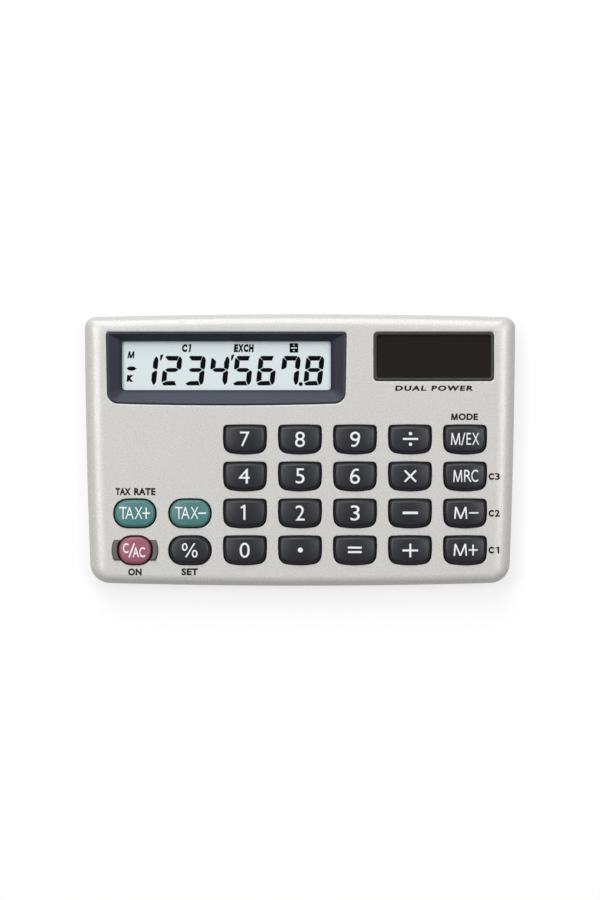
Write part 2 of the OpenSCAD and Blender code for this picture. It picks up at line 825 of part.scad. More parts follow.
// Hollow key cap with a crowned top, a rounded edge, a flange and a plunger for the rubber dome
module key_cap(kind) {
  crown_r = bow_radius(key_w / 2, key_crown);
  function crown(p, drop) = [p.x, p.y, key_top_z - drop - (p.x * p.x + p.y * p.y) / (2 * crown_r)];
  rings = concat(
    [raised(key_outline(kind), key_z + flange_t / 2)],
    [for (a = [0, 45, 90])
      [for (p = key_outline(kind, key_edge * (cos(a) - 1) - key_draft)) crown(p, key_edge * (1 - sin(a)))]],
    [for (f = [0.55, 0.02]) [for (p = key_outline(kind, -key_edge - key_draft)) crown(f * p, 0)]]);
  union() {
    difference() {
      union() {
        loft(rings);
        slab(key_outline(kind, flange_w), key_z, flange_t);
      }
      slab(key_outline(kind, -key_wall), key_z - 1, key_top_z - key_z - key_crown - key_wall + 1);
    }
    translate([0, 0, key_z])
      cylinder(r = plunger_r, h = key_top_z - key_z - plunger_cap);
  }
}

// A key in its place, by its number in the list
module key(i) {
  k = KEYS[i];
  paint = k[3] == "clear" ? "#b5627b" : k[0] == "key_percent" || k[3] == "wide" ? "#3b3c44" : "#4e8c86";
  color(paint)
    at([key_x(k[1]), key_y(k[2])])
      key_cap(k[3]);
}

front_case();
rear_cover();
case_screws();
battery_cover();
battery_cover_screw();
display_bezel();
display_window();
front_polariser();
display_glass();
rear_reflector();
display_cushion();
display_ribbon();
solar_bezel();
solar_window();
solar_cell();
solar_leads();
main_board();
chip_cover();
capacitor();
clamp_diode();
button_cell();
positive_contact();
negative_contact();
rubber_keypad();
contact_pills();
clear_key_guard();
for (i = [0 : len(KEYS) - 1])
  key(i);
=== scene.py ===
import json
import math
import bmesh
import bpy
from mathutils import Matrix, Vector

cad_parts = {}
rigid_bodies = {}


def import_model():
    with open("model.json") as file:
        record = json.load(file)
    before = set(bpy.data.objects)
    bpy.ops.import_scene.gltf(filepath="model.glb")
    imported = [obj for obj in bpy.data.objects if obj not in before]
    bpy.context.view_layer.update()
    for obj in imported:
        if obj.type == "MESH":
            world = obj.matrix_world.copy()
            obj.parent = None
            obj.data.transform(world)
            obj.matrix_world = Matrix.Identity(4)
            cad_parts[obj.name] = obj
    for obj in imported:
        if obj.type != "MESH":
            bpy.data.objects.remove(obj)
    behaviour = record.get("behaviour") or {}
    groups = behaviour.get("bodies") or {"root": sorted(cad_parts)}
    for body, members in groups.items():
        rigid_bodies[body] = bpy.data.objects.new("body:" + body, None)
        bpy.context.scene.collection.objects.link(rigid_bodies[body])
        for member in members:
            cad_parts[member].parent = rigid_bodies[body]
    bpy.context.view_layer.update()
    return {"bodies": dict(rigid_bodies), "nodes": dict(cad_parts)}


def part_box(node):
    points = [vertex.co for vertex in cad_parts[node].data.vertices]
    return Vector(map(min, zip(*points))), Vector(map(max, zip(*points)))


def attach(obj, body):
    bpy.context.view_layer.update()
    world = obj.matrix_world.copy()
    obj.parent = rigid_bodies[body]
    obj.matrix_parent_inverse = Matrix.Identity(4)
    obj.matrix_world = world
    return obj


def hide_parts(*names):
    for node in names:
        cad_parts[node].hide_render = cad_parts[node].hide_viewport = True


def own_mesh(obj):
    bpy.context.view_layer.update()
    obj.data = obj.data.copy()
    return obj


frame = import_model()

# Front case
# The upper shell is injection-moulded in black ABS and sprayed outside with a fine silver paint. One
# moulding carries the face, its soft shoulder and the walls, and inside it the ribs, bosses and pins.
scene = bpy.context.scene
mm = 0.001


def linear(colour):
    """Turns an sRGB hex colour into linear red, green, blue and alpha."""
    parts = [int(colour[i:i + 2], 16) / 255 for i in (1, 3, 5)]
    return [p / 12.92 if p <= 0.04045 else ((p + 0.055) / 1.055) ** 2.4 for p in parts] + [1.0]


def add(tree, kind, inputs=None, **settings):
    """Adds a node to a tree with its settings, and sets or links each of its inputs."""
    made = tree.nodes.new(kind)
    for name, value in settings.items():
        setattr(made, name, value)
    for name, value in (inputs or {}).items():
        if isinstance(value, bpy.types.NodeSocket):
            tree.links.new(value, made.inputs[name])
        else:
            made.inputs[name].default_value = value
    return made


def material(name):
    """Starts an empty material and gives it with its node tree."""
    made = bpy.data.materials.new(name)
    made.use_nodes = True
    made.node_tree.nodes.clear()
    return made, made.node_tree


def grained(name, colour, light_colour, roughness, grain, depth, **principled):
    """A surface whose tone drifts between two colours, with a grain and its depth in mm."""
    drift_w = 5
    spread = 0.06
    made, tree = material(name)
    place = add(tree, "ShaderNodeTexCoord").outputs["Object"]
    drift = add(tree, "ShaderNodeTexNoise", {"Vector": place, "Scale": 1 / (drift_w * mm), "Detail": 3.0})
    skin = add(tree, "ShaderNodeTexNoise", {"Vector": place, "Scale": 1 / (grain * mm), "Detail": 2.0})
    # A Mix of colours takes them at inputs 6 and 7 and gives the result at output 2.
    tone = add(tree, "ShaderNodeMix", {
        "Factor": drift.outputs["Fac"], 6: linear(colour), 7: linear(light_colour)}, data_type="RGBA")
    worn = add(tree, "ShaderNodeMapRange", {
        "Value": skin.outputs["Fac"], "To Min": roughness - spread, "To Max": roughness + spread})
    bump = add(tree, "ShaderNodeBump", {
        "Height": skin.outputs["Fac"], "Distance": depth * mm, "Strength": 1.0})
    shader = add(tree, "ShaderNodeBsdfPrincipled", {
        "Base Color": tone.outputs[2], "Roughness": worn.outputs["Result"],
        "Normal": bump.outputs["Normal"], **principled})
    add(tree, "ShaderNodeOutputMaterial", {"Surface": shader.outputs["BSDF"]})
    return made


def bow_radius(half, bow):
    """Radius of an arc from its half chord and its bow."""
    return (half * half + bow * bow) / (2 * bow)


def arc(centre, radius, start, end, steps):
    """Points of an arc without its last point."""
    angles = [start + (end - start) * i / steps for i in range(steps)]
    return [centre + radius * Vector((math.cos(a), math.sin(a))) for a in angles]


def circle(radius, steps=32):
    """Points of a circle about the origin."""
    return arc(Vector((0, 0)), radius, 0, 2 * math.pi, steps)


def quarter(steps):
    """Steps round a quarter circle: the share gone along one axis and the share left along the other."""
    angles = [math.pi / 2 * i / steps for i in range(steps + 1)]
    return [(1 - math.cos(a), 1 - math.sin(a)) for a in angles]


def outline(w, d, r_back, r_front, back=0.01, front=0.01, side=0.01, narrow=0.0, corner=8, edge=6):
    """Closed plan of arcs, each tangent to the next: rounded corners, and edges with a bow.

    Each side draws in by narrow towards the front. A corner is drawn in corner steps, and a side or half of
    the back or the front in edge steps.
    """
    most = 0.47 * d
    r_back = min(r_back, most)
    r_front = min(r_front, most)
    back_r = bow_radius(w / 2, back)
    front_r = bow_radius(w / 2 - narrow, front)
    side_r = bow_radius(d / 2, side)
    back_mid = Vector((0, d / 2 - back_r))
    front_mid = Vector((0, front_r - d / 2))
    back_x = w / 2 - r_back
    front_x = w / 2 - narrow - r_front
    back_corner = Vector((back_x, back_mid.y + math.sqrt((back_r - r_back) ** 2 - back_x ** 2)))
    front_corner = Vector((front_x, front_mid.y - math.sqrt((front_r - r_front) ** 2 - front_x ** 2)))
    run = (back_corner - front_corner).length
    up = (back_corner - front_corner) / run
    along = ((side_r - r_front) ** 2 - (side_r - r_back) ** 2 + run ** 2) / (2 * run)
    inward = math.sqrt((side_r - r_front) ** 2 - along ** 2)
    side_mid = front_corner + along * up + inward * Vector((-up.y, up.x))
    turn = [math.atan2(v.y, v.x) for v in (front_corner - front_mid, front_corner - side_mid,
                                           back_corner - side_mid, back_corner - back_mid)]
    right = arc(front_mid, front_r, -math.pi / 2, turn[0], edge)
    right += arc(front_corner, r_front, turn[0], turn[1], corner)
    right += arc(side_mid, side_r, turn[1], turn[2], edge)
    right += arc(back_corner, r_back, turn[2], turn[3], corner)
    right += arc(back_mid, back_r, turn[3], math.pi / 2, edge)
    return right + [Vector((0, d / 2))] + [Vector((-p.x, p.y)) for p in right[:0:-1]]


def ring(bm, points, z, centre=(0, 0)):
    """Adds a loop of vertices. Points, centre and z are in mm, and z may be a function of the point."""
    level = z if callable(z) else lambda p: z
    return [bm.verts.new(((p.x + centre[0]) * mm, (p.y + centre[1]) * mm, level(p) * mm)) for p in points]


def bridge(bm, *loops, skin=0):
    """Joins each loop to the next with a band of faces. The skin is the number of their finish."""
    for low, high in zip(loops, loops[1:]):
        for i in range(len(low)):
            j = (i + 1) % len(low)
            bm.faces.new((low[i], low[j], high[j], high[i])).material_index = skin


def fill(bm, *loops, skin=0):
    """Fills a level region inside the first loop and outside the others."""
    edges = []
    for loop in loops:
        for a, b in zip(loop, loop[1:] + loop[:1]):
            edges.append(bm.edges.get((a, b)) or bm.edges.new((a, b)))
    filled = bmesh.ops.triangle_fill(bm, use_beauty=True, edges=edges, normal=(0, 0, 1))
    for part in filled["geom"]:
        if isinstance(part, bmesh.types.BMFace):
            part.material_index = skin


def column(bm, centre, profile, steps=32, skin=0):
    """Adds a turned closed solid from (radius, z) pairs."""
    loops = [ring(bm, circle(r, steps), z, centre) for r, z in profile]
    bridge(bm, *loops, skin=skin)
    fill(bm, loops[0], skin=skin)
    fill(bm, loops[-1], skin=skin)


def tube(bm, centre, outer, inner, low, high, skin=0):
    """Adds a closed upright tube."""
    profile = ((outer, low), (outer, high), (inner, high), (inner, low))
    loops = [ring(bm, circle(r), z, centre) for r, z in profile]
    bridge(bm, *loops, loops[0], skin=skin)


def dress(made, body="case", stands_for=(), slot=None, crease=38):
    """Smooths a mesh up to a crease angle, sets it on a body and hides the CAD nodes it stands for."""
    made.data.shade_smooth()
    made.data.set_sharp_from_angle(angle=math.radians(crease))
    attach(made, body)
    if stands_for:
        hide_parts(*stands_for)


def piece(name, bm, *finishes, **dressing):
    """Makes an object of a mesh, with its faces outward, and dresses it."""
    bmesh.ops.recalc_face_normals(bm, faces=bm.faces)
    data = bpy.data.meshes.new(name)
    bm.to_mesh(data)
    bm.free()
    for finish in finishes:
        data.materials.append(finish)
    made = bpy.data.objects.new(name, data)
    scene.collection.objects.link(made)
    dress(made, **dressing)


def span(node):
    """Centre, size, lowest and highest level of a CAD node, in mm."""
    low, high = (Vector(corner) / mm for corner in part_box(node))
    return (low + high) / 2, high - low, low.z, high.z


case_w, case_d = span("front_case")[1].xy
face_z = span("front_case")[3]
seam_z = 3.2
seam_edge = 0.2
wall = 1.6
plate = 1.3
ceiling_z = face_z - plate
taper = 1.3
corner_back = 2.6
corner_front = 4.9
bow_back = 0.75
bow_front = 0.8
bow_side = 0.3
shoulder_side = 4.4
shoulder_back = 3.3
shoulder_front = 2.4
shoulder_drop = 2.3
shoulder_corner = 2.0
# A narrow level band beside each rounded edge keeps its shading off the flat of the face.
level_w = 0.05


def case_outline(inset, least=0.5, back=None, front=None):
    """Plan of the case at an inset from its sides, and at its own insets from the back and the front."""
    back = inset if back is None else back
    front = inset if front is None else front
    plan = outline(case_w - 2 * inset, case_d - back - front, max(corner_back - inset, least),
                   max(corner_front - inset, least), bow_back, bow_front, bow_side, taper, corner=12, edge=14)
    return [p + Vector((0, (front - back) / 2)) for p in plan]


key_w = 10.2
key_d = 6.95
key_corner_back = 0.75
key_corner_front = 2.0
key_bow_back = 0.16
key_bow_front = 0.7
key_bow_side = 0.34
key_narrow = 0.05
oval_r = 3.2
oval_bow = 0.3
clear_key_w = 8.25
clear_bow = 0.35
least_corner = 0.3
key_gap = 0.2
flange_w = 0.5
key_names = [body.removesuffix("_cap") for body in frame["bodies"] if body.endswith("_cap")]
key_place = {name: span(name)[0].xy for name in key_names}
oval_keys = ("key_tax_plus", "key_tax_minus", "key_percent")


def key_outline(name, grow=0.0):
    """Plan of a key about its own centre, grown on all sides."""
    d = key_d + 2 * grow
    round_r = oval_r + grow
    if name in oval_keys:
        return outline(key_w + 2 * grow, d, round_r, round_r, oval_bow, oval_bow, oval_bow, corner=12)
    if name == "key_clear":
        return outline(clear_key_w + 2 * grow, d, round_r, round_r, clear_bow, clear_bow, oval_bow, corner=12)
    return outline(key_w + 2 * grow, d, max(key_corner_back + grow, least_corner), key_corner_front + grow,
                   key_bow_back, key_bow_front, key_bow_side, key_narrow)


guard_w = 1.45
guard_r = clear_key_w / 2 + guard_w
guard_half = 0.34 * key_d
guard_fit = 0.1


def reach(points, angle):
    """Distance from the centre to a closed plan in one direction."""
    way = Vector((math.cos(angle), math.sin(angle)))
    tiny = 1e-6
    best = 0.0
    for a, b in zip(points, points[1:] + points[:1]):
        across = way.cross(b - a)
        if abs(across) > 1e-9:
            far = a.cross(b - a) / across
            share = a.cross(way) / across
            if far > 0 and -tiny <= share <= 1 + tiny:
                best = max(best, far)
    return best


def hole_outline(name, grow):
    """Plan of a key's hole. The clear key's hole also takes in the slots of its guard."""
    plan = key_outline(name, key_gap + grow)
    if name != "key_clear":
        return plan
    steps = 180
    points = []
    for a in (2 * math.pi * i / steps for i in range(steps)):
        band = (guard_half + guard_fit + grow) / max(abs(math.sin(a)), 1e-6)
        far = max(reach(plan, a), min(guard_r + guard_fit + grow, band))
        points.append(far * Vector((math.cos(a), math.sin(a))))
    return points


bezel_mid, bezel_box, bezel_low, _ = span("display_bezel")
solar_mid, solar_box, _, _ = span("solar_bezel")
bezel_flange = 0.8
bezel_flange_t = 0.45
bezel_fit = 0.05
bezel_corner_back = 0.75
bezel_corner_front = 2.7
bezel_bow_back = 0.02
bezel_bow_front = 0.5
bezel_narrow = 0.25
solar_corner = 1.0


def bezel_outline(grow=0.0):
    """Plan of the display bezel about its own centre."""
    return outline(bezel_box.x - 2 * bezel_flange + 2 * grow, bezel_box.y - 2 * bezel_flange + 2 * grow,
                   max(bezel_corner_back + grow, least_corner), bezel_corner_front + grow,
                   bezel_bow_back, bezel_bow_front, narrow=bezel_narrow, corner=10, edge=10)


def solar_outline(grow=0.0):
    """Plan of the solar bezel about its own centre."""
    radius = max(solar_corner + grow / 2, least_corner)
    return outline(solar_box.x - 2 * bezel_flange + 2 * grow, solar_box.y - 2 * bezel_flange + 2 * grow,
                   radius, radius)


# Each opening in the face: its centre, the radius of its lip, and its plan grown by a distance.
key_lip = 0.12
bezel_lip = 0.3
lip_level = 0.04
openings = []
for name in key_names:
    openings.append((key_place[name], key_lip, lambda grow, name=name: hole_outline(name, grow)))
openings.append((bezel_mid.xy, bezel_lip, lambda grow: bezel_outline(bezel_fit + grow)))
openings.append((solar_mid.xy, bezel_lip, lambda grow: solar_outline(bezel_fit + grow)))

bm = bmesh.new()
foot = [ring(bm, case_outline(seam_edge * left), seam_z + seam_edge * gone) for gone, left in quarter(3)]
shoulder = []
for gone, left in quarter(16):
    plan = case_outline(shoulder_side * gone, shoulder_corner, shoulder_back * gone, shoulder_front * gone)
    shoulder.append(ring(bm, plan, face_z - shoulder_drop * left))
level = ring(bm, case_outline(shoulder_side + level_w, shoulder_corner, shoulder_back + level_w,
                              shoulder_front + level_w), face_z)
inner = [ring(bm, case_outline(wall), z) for z in (ceiling_z, seam_z)]
bridge(bm, *foot, *shoulder, level)
bridge(bm, *inner, foot[0], skin=1)
upper = [level]
lower = [inner[0]]
for centre, lip, plan in openings:
    flat = ring(bm, plan(lip + lip_level), face_z, centre)
    rim = [ring(bm, plan(lip * left), face_z - lip * gone, centre) for gone, left in quarter(3)]
    bottom = ring(bm, plan(0), ceiling_z, centre)
    bridge(bm, flat, *rim)
    bridge(bm, rim[-1], bottom, skin=1)
    upper.append(flat)
    lower.append(bottom)
fill(bm, *upper)
fill(bm, *lower, skin=1)

# The bosses, pins and ribs run a little way up into the face. The bosses take the case screws.
root_z = ceiling_z + 0.3
screw_r = 0.85
head_r = 1.4
post_wall = 0.75
post_r = screw_r + post_wall
post_fit = 0.1
post_inset = wall + post_fit + post_r
screws_low, screws_high = (Vector(corner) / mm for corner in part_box("case_screws"))
posts = []
for y in (screws_high.y - head_r, screws_low.y + head_r):
    x = case_w / 2 - taper * (case_d / 2 - y) / case_d - post_inset
    posts += [Vector((-x, y)), Vector((x, y))]
boss_rise = 1.0
boss_z = seam_z + boss_rise
for place in posts:
    tube(bm, place, post_r, screw_r, boss_z, root_z, skin=1)
board_mid, board_box, board_low, board_top = span("main_board")
columns = sorted({round(place.x, 4) for place in key_place.values()})
rows = sorted({round(place.y, 4) for place in key_place.values()})
pitch_x = columns[1] - columns[0]
pitch_y = rows[1] - rows[0]
pin_r = 0.7
pin_taper = 0.2
pins = [Vector((x, y)) for x in (columns[2] + pitch_x / 2, columns[5] + pitch_x / 2)
        for y in (rows[0] + pitch_y / 2, rows[2] + pitch_y / 2)]
profile = [(pin_r - pin_taper, board_low - 2 * pin_taper), (pin_r, board_low - pin_taper), (pin_r, root_z)]
for place in pins:
    column(bm, place, profile, 20, skin=1)

# Black ABS with a dull moulded skin. It is bare where the spray doesn't reach: inside, and down the holes.
# On the keys it is also painted shade: it colours their skirts and flanges, which show dark in the gaps round
# them.
black_and_gap_shade = grained("moulded_black_ABS_and_painted_gap_shade", "#161617", "#1C1C1D", 0.5, 0.12, 0.003, IOR=1.53)
# Silver metallic paint over ABS: a fine aluminium flake gives a slightly grainy tone and a soft sheen that
# lights up on the shoulder. The flake of about 0.05 mm is drawn at 0.4 mm, as fine as the render can show.
silver, tree = material("silver_metallic_paint")
place = add(tree, "ShaderNodeTexCoord").outputs["Object"]
flake = add(tree, "ShaderNodeTexNoise", {"Vector": place, "Scale": 1 / (0.4 * mm), "Detail": 2.0})
cloud = add(tree, "ShaderNodeTexNoise", {"Vector": place, "Scale": 1 / (6 * mm), "Detail": 5.0})
spark = add(tree, "ShaderNodeMapRange", {"Value": flake.outputs["Fac"], "From Min": 0.3, "From Max": 0.7})
tone = add(tree, "ShaderNodeMix", {
    "Factor": spark.outputs["Result"], 6: linear("#D1CFCB"), 7: linear("#E2E0DC")}, data_type="RGBA")
sheen = add(tree, "ShaderNodeMapRange", {"Value": cloud.outputs["Fac"], "To Min": 0.28, "To Max": 0.36})
grit = add(tree, "ShaderNodeBump", {"Height": flake.outputs["Fac"], "Distance": 0.003 * mm, "Strength": 1.0})
paint = add(tree, "ShaderNodeBsdfPrincipled", {
    "Base Color": tone.outputs[2], "Roughness": sheen.outputs["Result"], "Normal": grit.outputs["Normal"],
    "Metallic": 0.1, "IOR": 1.5})
add(tree, "ShaderNodeOutputMaterial", {"Surface": paint.outputs["BSDF"]})
piece("front_shell", bm, silver, black_and_gap_shade, stands_for=["front_case"], slot="silver_paint", crease=50)


def tree_for(name, sizes):
    """Starts a Geometry Nodes tree with an input for its places and a named one for each size."""
    tree = bpy.data.node_groups.new(name, "GeometryNodeTree")
    tree.interface.new_socket("Places", in_out="INPUT", socket_type="NodeSocketGeometry")
    for size in sizes:
        tree.interface.new_socket(size, in_out="INPUT", socket_type="NodeSocketFloat")
    tree.interface.new_socket("Mesh", in_out="OUTPUT", socket_type="NodeSocketGeometry")
    return tree, add(tree, "NodeGroupInput").outputs


def end_tree(tree, places, one, finish):
    """Ends a tree: a copy at every place, made real, with its material."""
    copies = add(tree, "GeometryNodeInstanceOnPoints", {"Points": places, "Instance": one})
    real = add(tree, "GeometryNodeRealizeInstances", {"Geometry": copies.outputs["Instances"]})
    done = add(tree, "GeometryNodeSetMaterial", {"Geometry": real.outputs["Geometry"], "Material": finish})
    add(tree, "NodeGroupOutput", {"Mesh": done.outputs["Geometry"]})


def run_tree(name, tree, places, sizes):
    """Runs a tree over points and keeps the result as a plain mesh. Points and sizes are in mm."""
    data = bpy.data.meshes.new(name)
    data.from_pydata([Vector(place) * mm for place in places], [], [])
    made = bpy.data.objects.new(name, data)
    scene.collection.objects.link(made)
    grown = made.modifiers.new(tree.name, "NODES")
    grown.node_group = tree
    for socket in tree.interface.items_tree:
        if socket.name in sizes:
            grown[socket.identifier] = sizes[socket.name] * mm
    shaped = bpy.data.meshes.new_from_object(made.evaluated_get(bpy.context.evaluated_depsgraph_get()))
    made.modifiers.clear()
    made.data = shaped
    return made


# The ribs stand under the face between the key columns and hold the keypad down on the board.
tree, given = tree_for("ribs_under_the_face", ["Width", "Length", "Height"])
size = add(tree, "ShaderNodeCombineXYZ", {"X": given["Width"], "Y": given["Length"], "Z": given["Height"]})
bar = add(tree, "GeometryNodeMeshCube", {"Size": size.outputs["Vector"]})
end_tree(tree, given["Places"], bar.outputs["Mesh"], black_and_gap_shade)
# Pieces that lie on each other are drawn this far apart.
slack = 0.02
mat_t = 0.55
mat_low = board_top + slack
mat_top = mat_low + mat_t
rib_low = mat_top + slack
rib_h = root_z - rib_low
rib_w = (pitch_x - key_w - 2 * flange_w) / 2
for name, behind, last_row in (("long_ribs", columns[2:6], rows[3]), ("short_ribs", columns[:2], rows[1])):
    places = [(x + pitch_x / 2, (rows[0] + last_row) / 2, rib_low + rib_h / 2) for x in behind]
    rib_sizes = {"Width": rib_w, "Length": last_row - rows[0], "Height": rib_h}
    dress(run_tree(name, tree, places, rib_sizes), slot="silver_paint")

# Words on the face
# Small dark words beside the keys and under the solar window: tax rate, on, set, mode, the three memories
# and the two power sources. They are screen-printed on the paint in one pass.
ink_t = 0.03


def prism(bm, points, low, high, centre=(0, 0), holes=()):
    """Adds a closed upright solid on a plan, which may have holes."""
    bottom, top = [[ring(bm, plan, z, centre) for plan in (points, *holes)] for z in (low, high)]
    for low_loop, high_loop in zip(bottom, top):
        bridge(bm, low_loop, high_loop)
    fill(bm, *bottom)
    fill(bm, *top)


def lettering(bm, text, centre, height, width, z, bold=0.0, slant=0.0, thick=ink_t, space=1.0):
    """Adds generic letters as closed solids. Height and width are those of the whole word."""
    curve = bpy.data.curves.new("letters", "FONT")
    curve.body = text
    curve.offset = bold
    curve.shear = slant
    curve.space_character = space
    curve.extrude = 0.5
    curve.resolution_u = 5
    letters = bpy.data.objects.new("letters", curve)
    scene.collection.objects.link(letters)
    data = bpy.data.meshes.new_from_object(letters.evaluated_get(bpy.context.evaluated_depsgraph_get()))
    bpy.data.objects.remove(letters)
    bpy.data.curves.remove(curve)
    xs = [v.co.x for v in data.vertices]
    ys = [v.co.y for v in data.vertices]
    wide = width / (max(xs) - min(xs))
    tall = height / (max(ys) - min(ys))
    middle = Vector(((max(xs) + min(xs)) / 2, (max(ys) + min(ys)) / 2))
    for v in data.vertices:
        x = (v.co.x - middle.x) * wide + centre[0]
        y = (v.co.y - middle.y) * tall + centre[1]
        v.co = Vector((x, y, z + v.co.z * thick)) * mm
    bm.from_mesh(data)
    bpy.data.meshes.remove(data)


def figure_one(bm, centre, height, z, stroke=0.2, slant=0.0, thick=ink_t, flag=0.2):
    """Adds the figure 1: an upright stroke with a flag. Both are shares of the height."""
    plan = [(0, 0), (stroke, 0), (stroke, 1), (0.04, 1), (-flag, 0.84), (0.05 - flag, 0.74), (0, 0.83)]
    points = [Vector((x + 0.02 + slant * (y - 0.5), y - 0.5)) * height for x, y in plan]
    prism(bm, points, z - thick / 2, z + thick / 2, centre)


def letter_m(bm, centre, height, width, stroke, z, slant=0.0, thick=ink_t):
    """Adds the letter M: two legs that lean a little and two arms that meet at the foot."""
    lean = 0.07 * width
    start = lean + 0.55 * stroke
    run = (width / 2 - start) / height
    side = 0.5 * stroke * math.hypot(1, run)
    top = start + side
    foot = width / 2 - side
    meet = (foot - stroke) / (run + lean / height)
    left = [(0, 0), (stroke, 0), (foot - run * meet, meet), (foot, 0)]
    right = [(width - x, y) for x, y in reversed(left)]
    crest = [(width - lean, height), (width - top, height), (width / 2, height - (width / 2 - top) / run),
             (top, height), (lean, height)]
    points = [Vector((x - width / 2 + slant * (y - height / 2), y - height / 2))
              for x, y in left + right + crest]
    prism(bm, points, z - thick / 2, z + thick / 2, centre)


def join_letters(bm):
    """Closes the letters' solids, whose caps and sides come apart."""
    bmesh.ops.remove_doubles(bm, verts=bm.verts, dist=0.0005 * mm)


bm = bmesh.new()
# Each word: its text, the middle of its place, its width and height, and how far its strokes are fattened.
# The M of mode and the 1 of the first memory are drawn, and follow the list.
words = [
    ("TAX", -43.09, -10.13, 3.74, 1.78, 0.05),
    ("RATE", -37.83, -10.13, 5.21, 1.78, 0.05),
    ("ON", -40.22, -29.72, 3.31, 1.71, 0.05),
    ("SET", -26.85, -29.67, 4.04, 1.71, 0.05),
    ("ODE", 40.98, 8.09, 4.73, 1.66, 0.05),
    ("C", 46.58, -6.46, 1.32, 1.68, 0.065),
    ("3", 48.07, -6.46, 1.22, 1.68, 0.03),
    ("C", 46.58, -15.42, 1.32, 1.68, 0.065),
    ("2", 48.07, -15.42, 1.22, 1.68, 0.03),
    ("C", 46.58, -24.39, 1.32, 1.68, 0.065),
]
for text, x, y, wide, tall, bold in words:
    lettering(bm, text, (x, y), tall, wide, face_z, bold, space=1.08)
figure_one(bm, (48.12, -24.39), 1.66, face_z, stroke=0.22, flag=0.32)
letter_m(bm, (37.64, 8.09), height=1.63, width=1.71, stroke=0.38, z=face_z)
lettering(bm, "DUAL POWER", (32.65, 15.06), 1.32, 19, face_z, bold=0.05, slant=0.1, space=1.25)
join_letters(bm)
# Screen-printing ink: a flat dark brown-grey, a little uneven in how thickly it lies.
ink, tree = material("screen_printed_ink")
place = add(tree, "ShaderNodeTexCoord").outputs["Object"]
cover = add(tree, "ShaderNodeTexNoise", {"Vector": place, "Scale": 1 / (0.3 * mm)})
tone = add(tree, "ShaderNodeMix", {
    "Factor": cover.outputs["Fac"], 6: linear("#120F0E"), 7: linear("#1C1917")}, data_type="RGBA")
print_ink = add(tree, "ShaderNodeBsdfPrincipled", {
    "Base Color": tone.outputs[2], "Roughness": 0.65, "IOR": 1.35})
add(tree, "ShaderNodeOutputMaterial", {"Surface": print_ink.outputs["BSDF"]})
piece("face_words", bm, ink, slot="silver_paint")

# Display bezel
# A dark blue-grey moulding dropped into the face from inside. Its narrow rim stands level with the face
# and its sides slope down like a funnel to the window, with a small radius on every edge.
view_mid, pane_box, _, _ = span("display_window")
pane_lap = 1.6
view_w = pane_box.x - 2 * pane_lap
view_d = pane_box.y - 2 * pane_lap
view_corner_back = 0.4
view_corner_front = 0.8
view_shift = view_mid.xy - bezel_mid.xy
bezel_rim = 0.45
bezel_edge = 0.3
bezel_seat = 0.15


def bezel_flank(edge):
    """Profile of a bezel's outside: its flange, its side and its rounded upper edge."""
    flange_top = bezel_low + bezel_flange_t
    flange = [(bezel_flange, bezel_low), (bezel_flange, flange_top), (0, flange_top)]
    return flange + [(-edge * gone, face_z - edge * left) for gone, left in quarter(4)]


bm = bmesh.new()
at = bezel_mid.xy
flank = [ring(bm, bezel_outline(out), z, at) for out, z in bezel_flank(bezel_edge)]
funnel_top = bezel_outline(-bezel_rim)
funnel_foot = [p + view_shift for p in outline(view_w, view_d, view_corner_back, view_corner_front,
                                               corner=10, edge=10)]


def slope(share):
    """Plan of the funnel part of the way down from its top edge."""
    return [a.lerp(b, share) for a, b in zip(funnel_top, funnel_foot)]


# The funnel's edges are eased over the first and the last few hundredths of its slope.
fall = face_z - bezel_low - bezel_seat
funnel = [ring(bm, slope(-0.02), face_z, at), ring(bm, slope(0.01), face_z - 0.012 * fall, at)]
funnel += [ring(bm, slope(share), face_z - fall * share, at) for share in (0.04, 0.3, 0.7, 0.985)]
funnel += [ring(bm, funnel_foot, bezel_low + 0.7 * bezel_seat, at), ring(bm, funnel_foot, bezel_low, at)]
bridge(bm, *flank, *funnel, flank[0])
# Moulded ABS with a fine spark-eroded skin: blue-grey, with a soft broad sheen on each slope.
bezel_plastic = grained("spark_eroded_blue_grey_ABS", "#22242D", "#282A34", 0.48, 0.1, 0.002, IOR=1.62,
                        **{"Specular Tint": linear("#E2E7FF")})
piece("bezel_frame", bm, bezel_plastic, stands_for=["display_bezel"], slot="bezel_plastic", crease=55)

# Display window
# A clear cast-acrylic pane, cut from sheet and bonded under the bezel. It is polished on both sides, so
# only its gloss shows.


def finish_node(node, finish):
    """Gives a CAD node its material."""
    frame["nodes"][node].data.materials.clear()
    frame["nodes"][node].data.materials.append(finish)


def acrylic(name, colour, alpha, wave, smooth, dull):
    """A polished pane. Its gloss varies between two roughnesses in a faint ripple of a width in mm."""
    made, tree = material(name)
    place = add(tree, "ShaderNodeTexCoord").outputs["Object"]
    ripple = add(tree, "ShaderNodeTexNoise", {"Vector": place, "Scale": 1 / (wave * mm)})
    sheen = add(tree, "ShaderNodeMapRange", {
        "Value": ripple.outputs["Fac"], "To Min": smooth, "To Max": dull})
    pane = add(tree, "ShaderNodeBsdfPrincipled", {
        "Base Color": linear(colour), "Roughness": sheen.outputs["Result"], "IOR": 1.49, "Alpha": alpha})
    add(tree, "ShaderNodeOutputMaterial", {"Surface": pane.outputs["BSDF"]})
    return made


# Clear acrylic: nearly all the light goes through, and a faint ripple shows in what it reflects.
finish_node("display_window", acrylic("polished_clear_acrylic", "#20282A", 0.04, 4, 0.02, 0.06))

# Liquid-crystal display
# Two bonded sheets of glass between polarising films, with a reflector behind. The dark figures and marks
# are the segments that are switched on, seen as flat shapes on the pale green-grey of the cell.

# Polarising film over the cell: an even pale green-grey with a faint silky grain from the reflector.
film = grained("silky_polarising_film", "#EBF9FB", "#F0FCFD", 0.45, 0.15, 0.001, IOR=1.48)
finish_node("front_polariser", film)
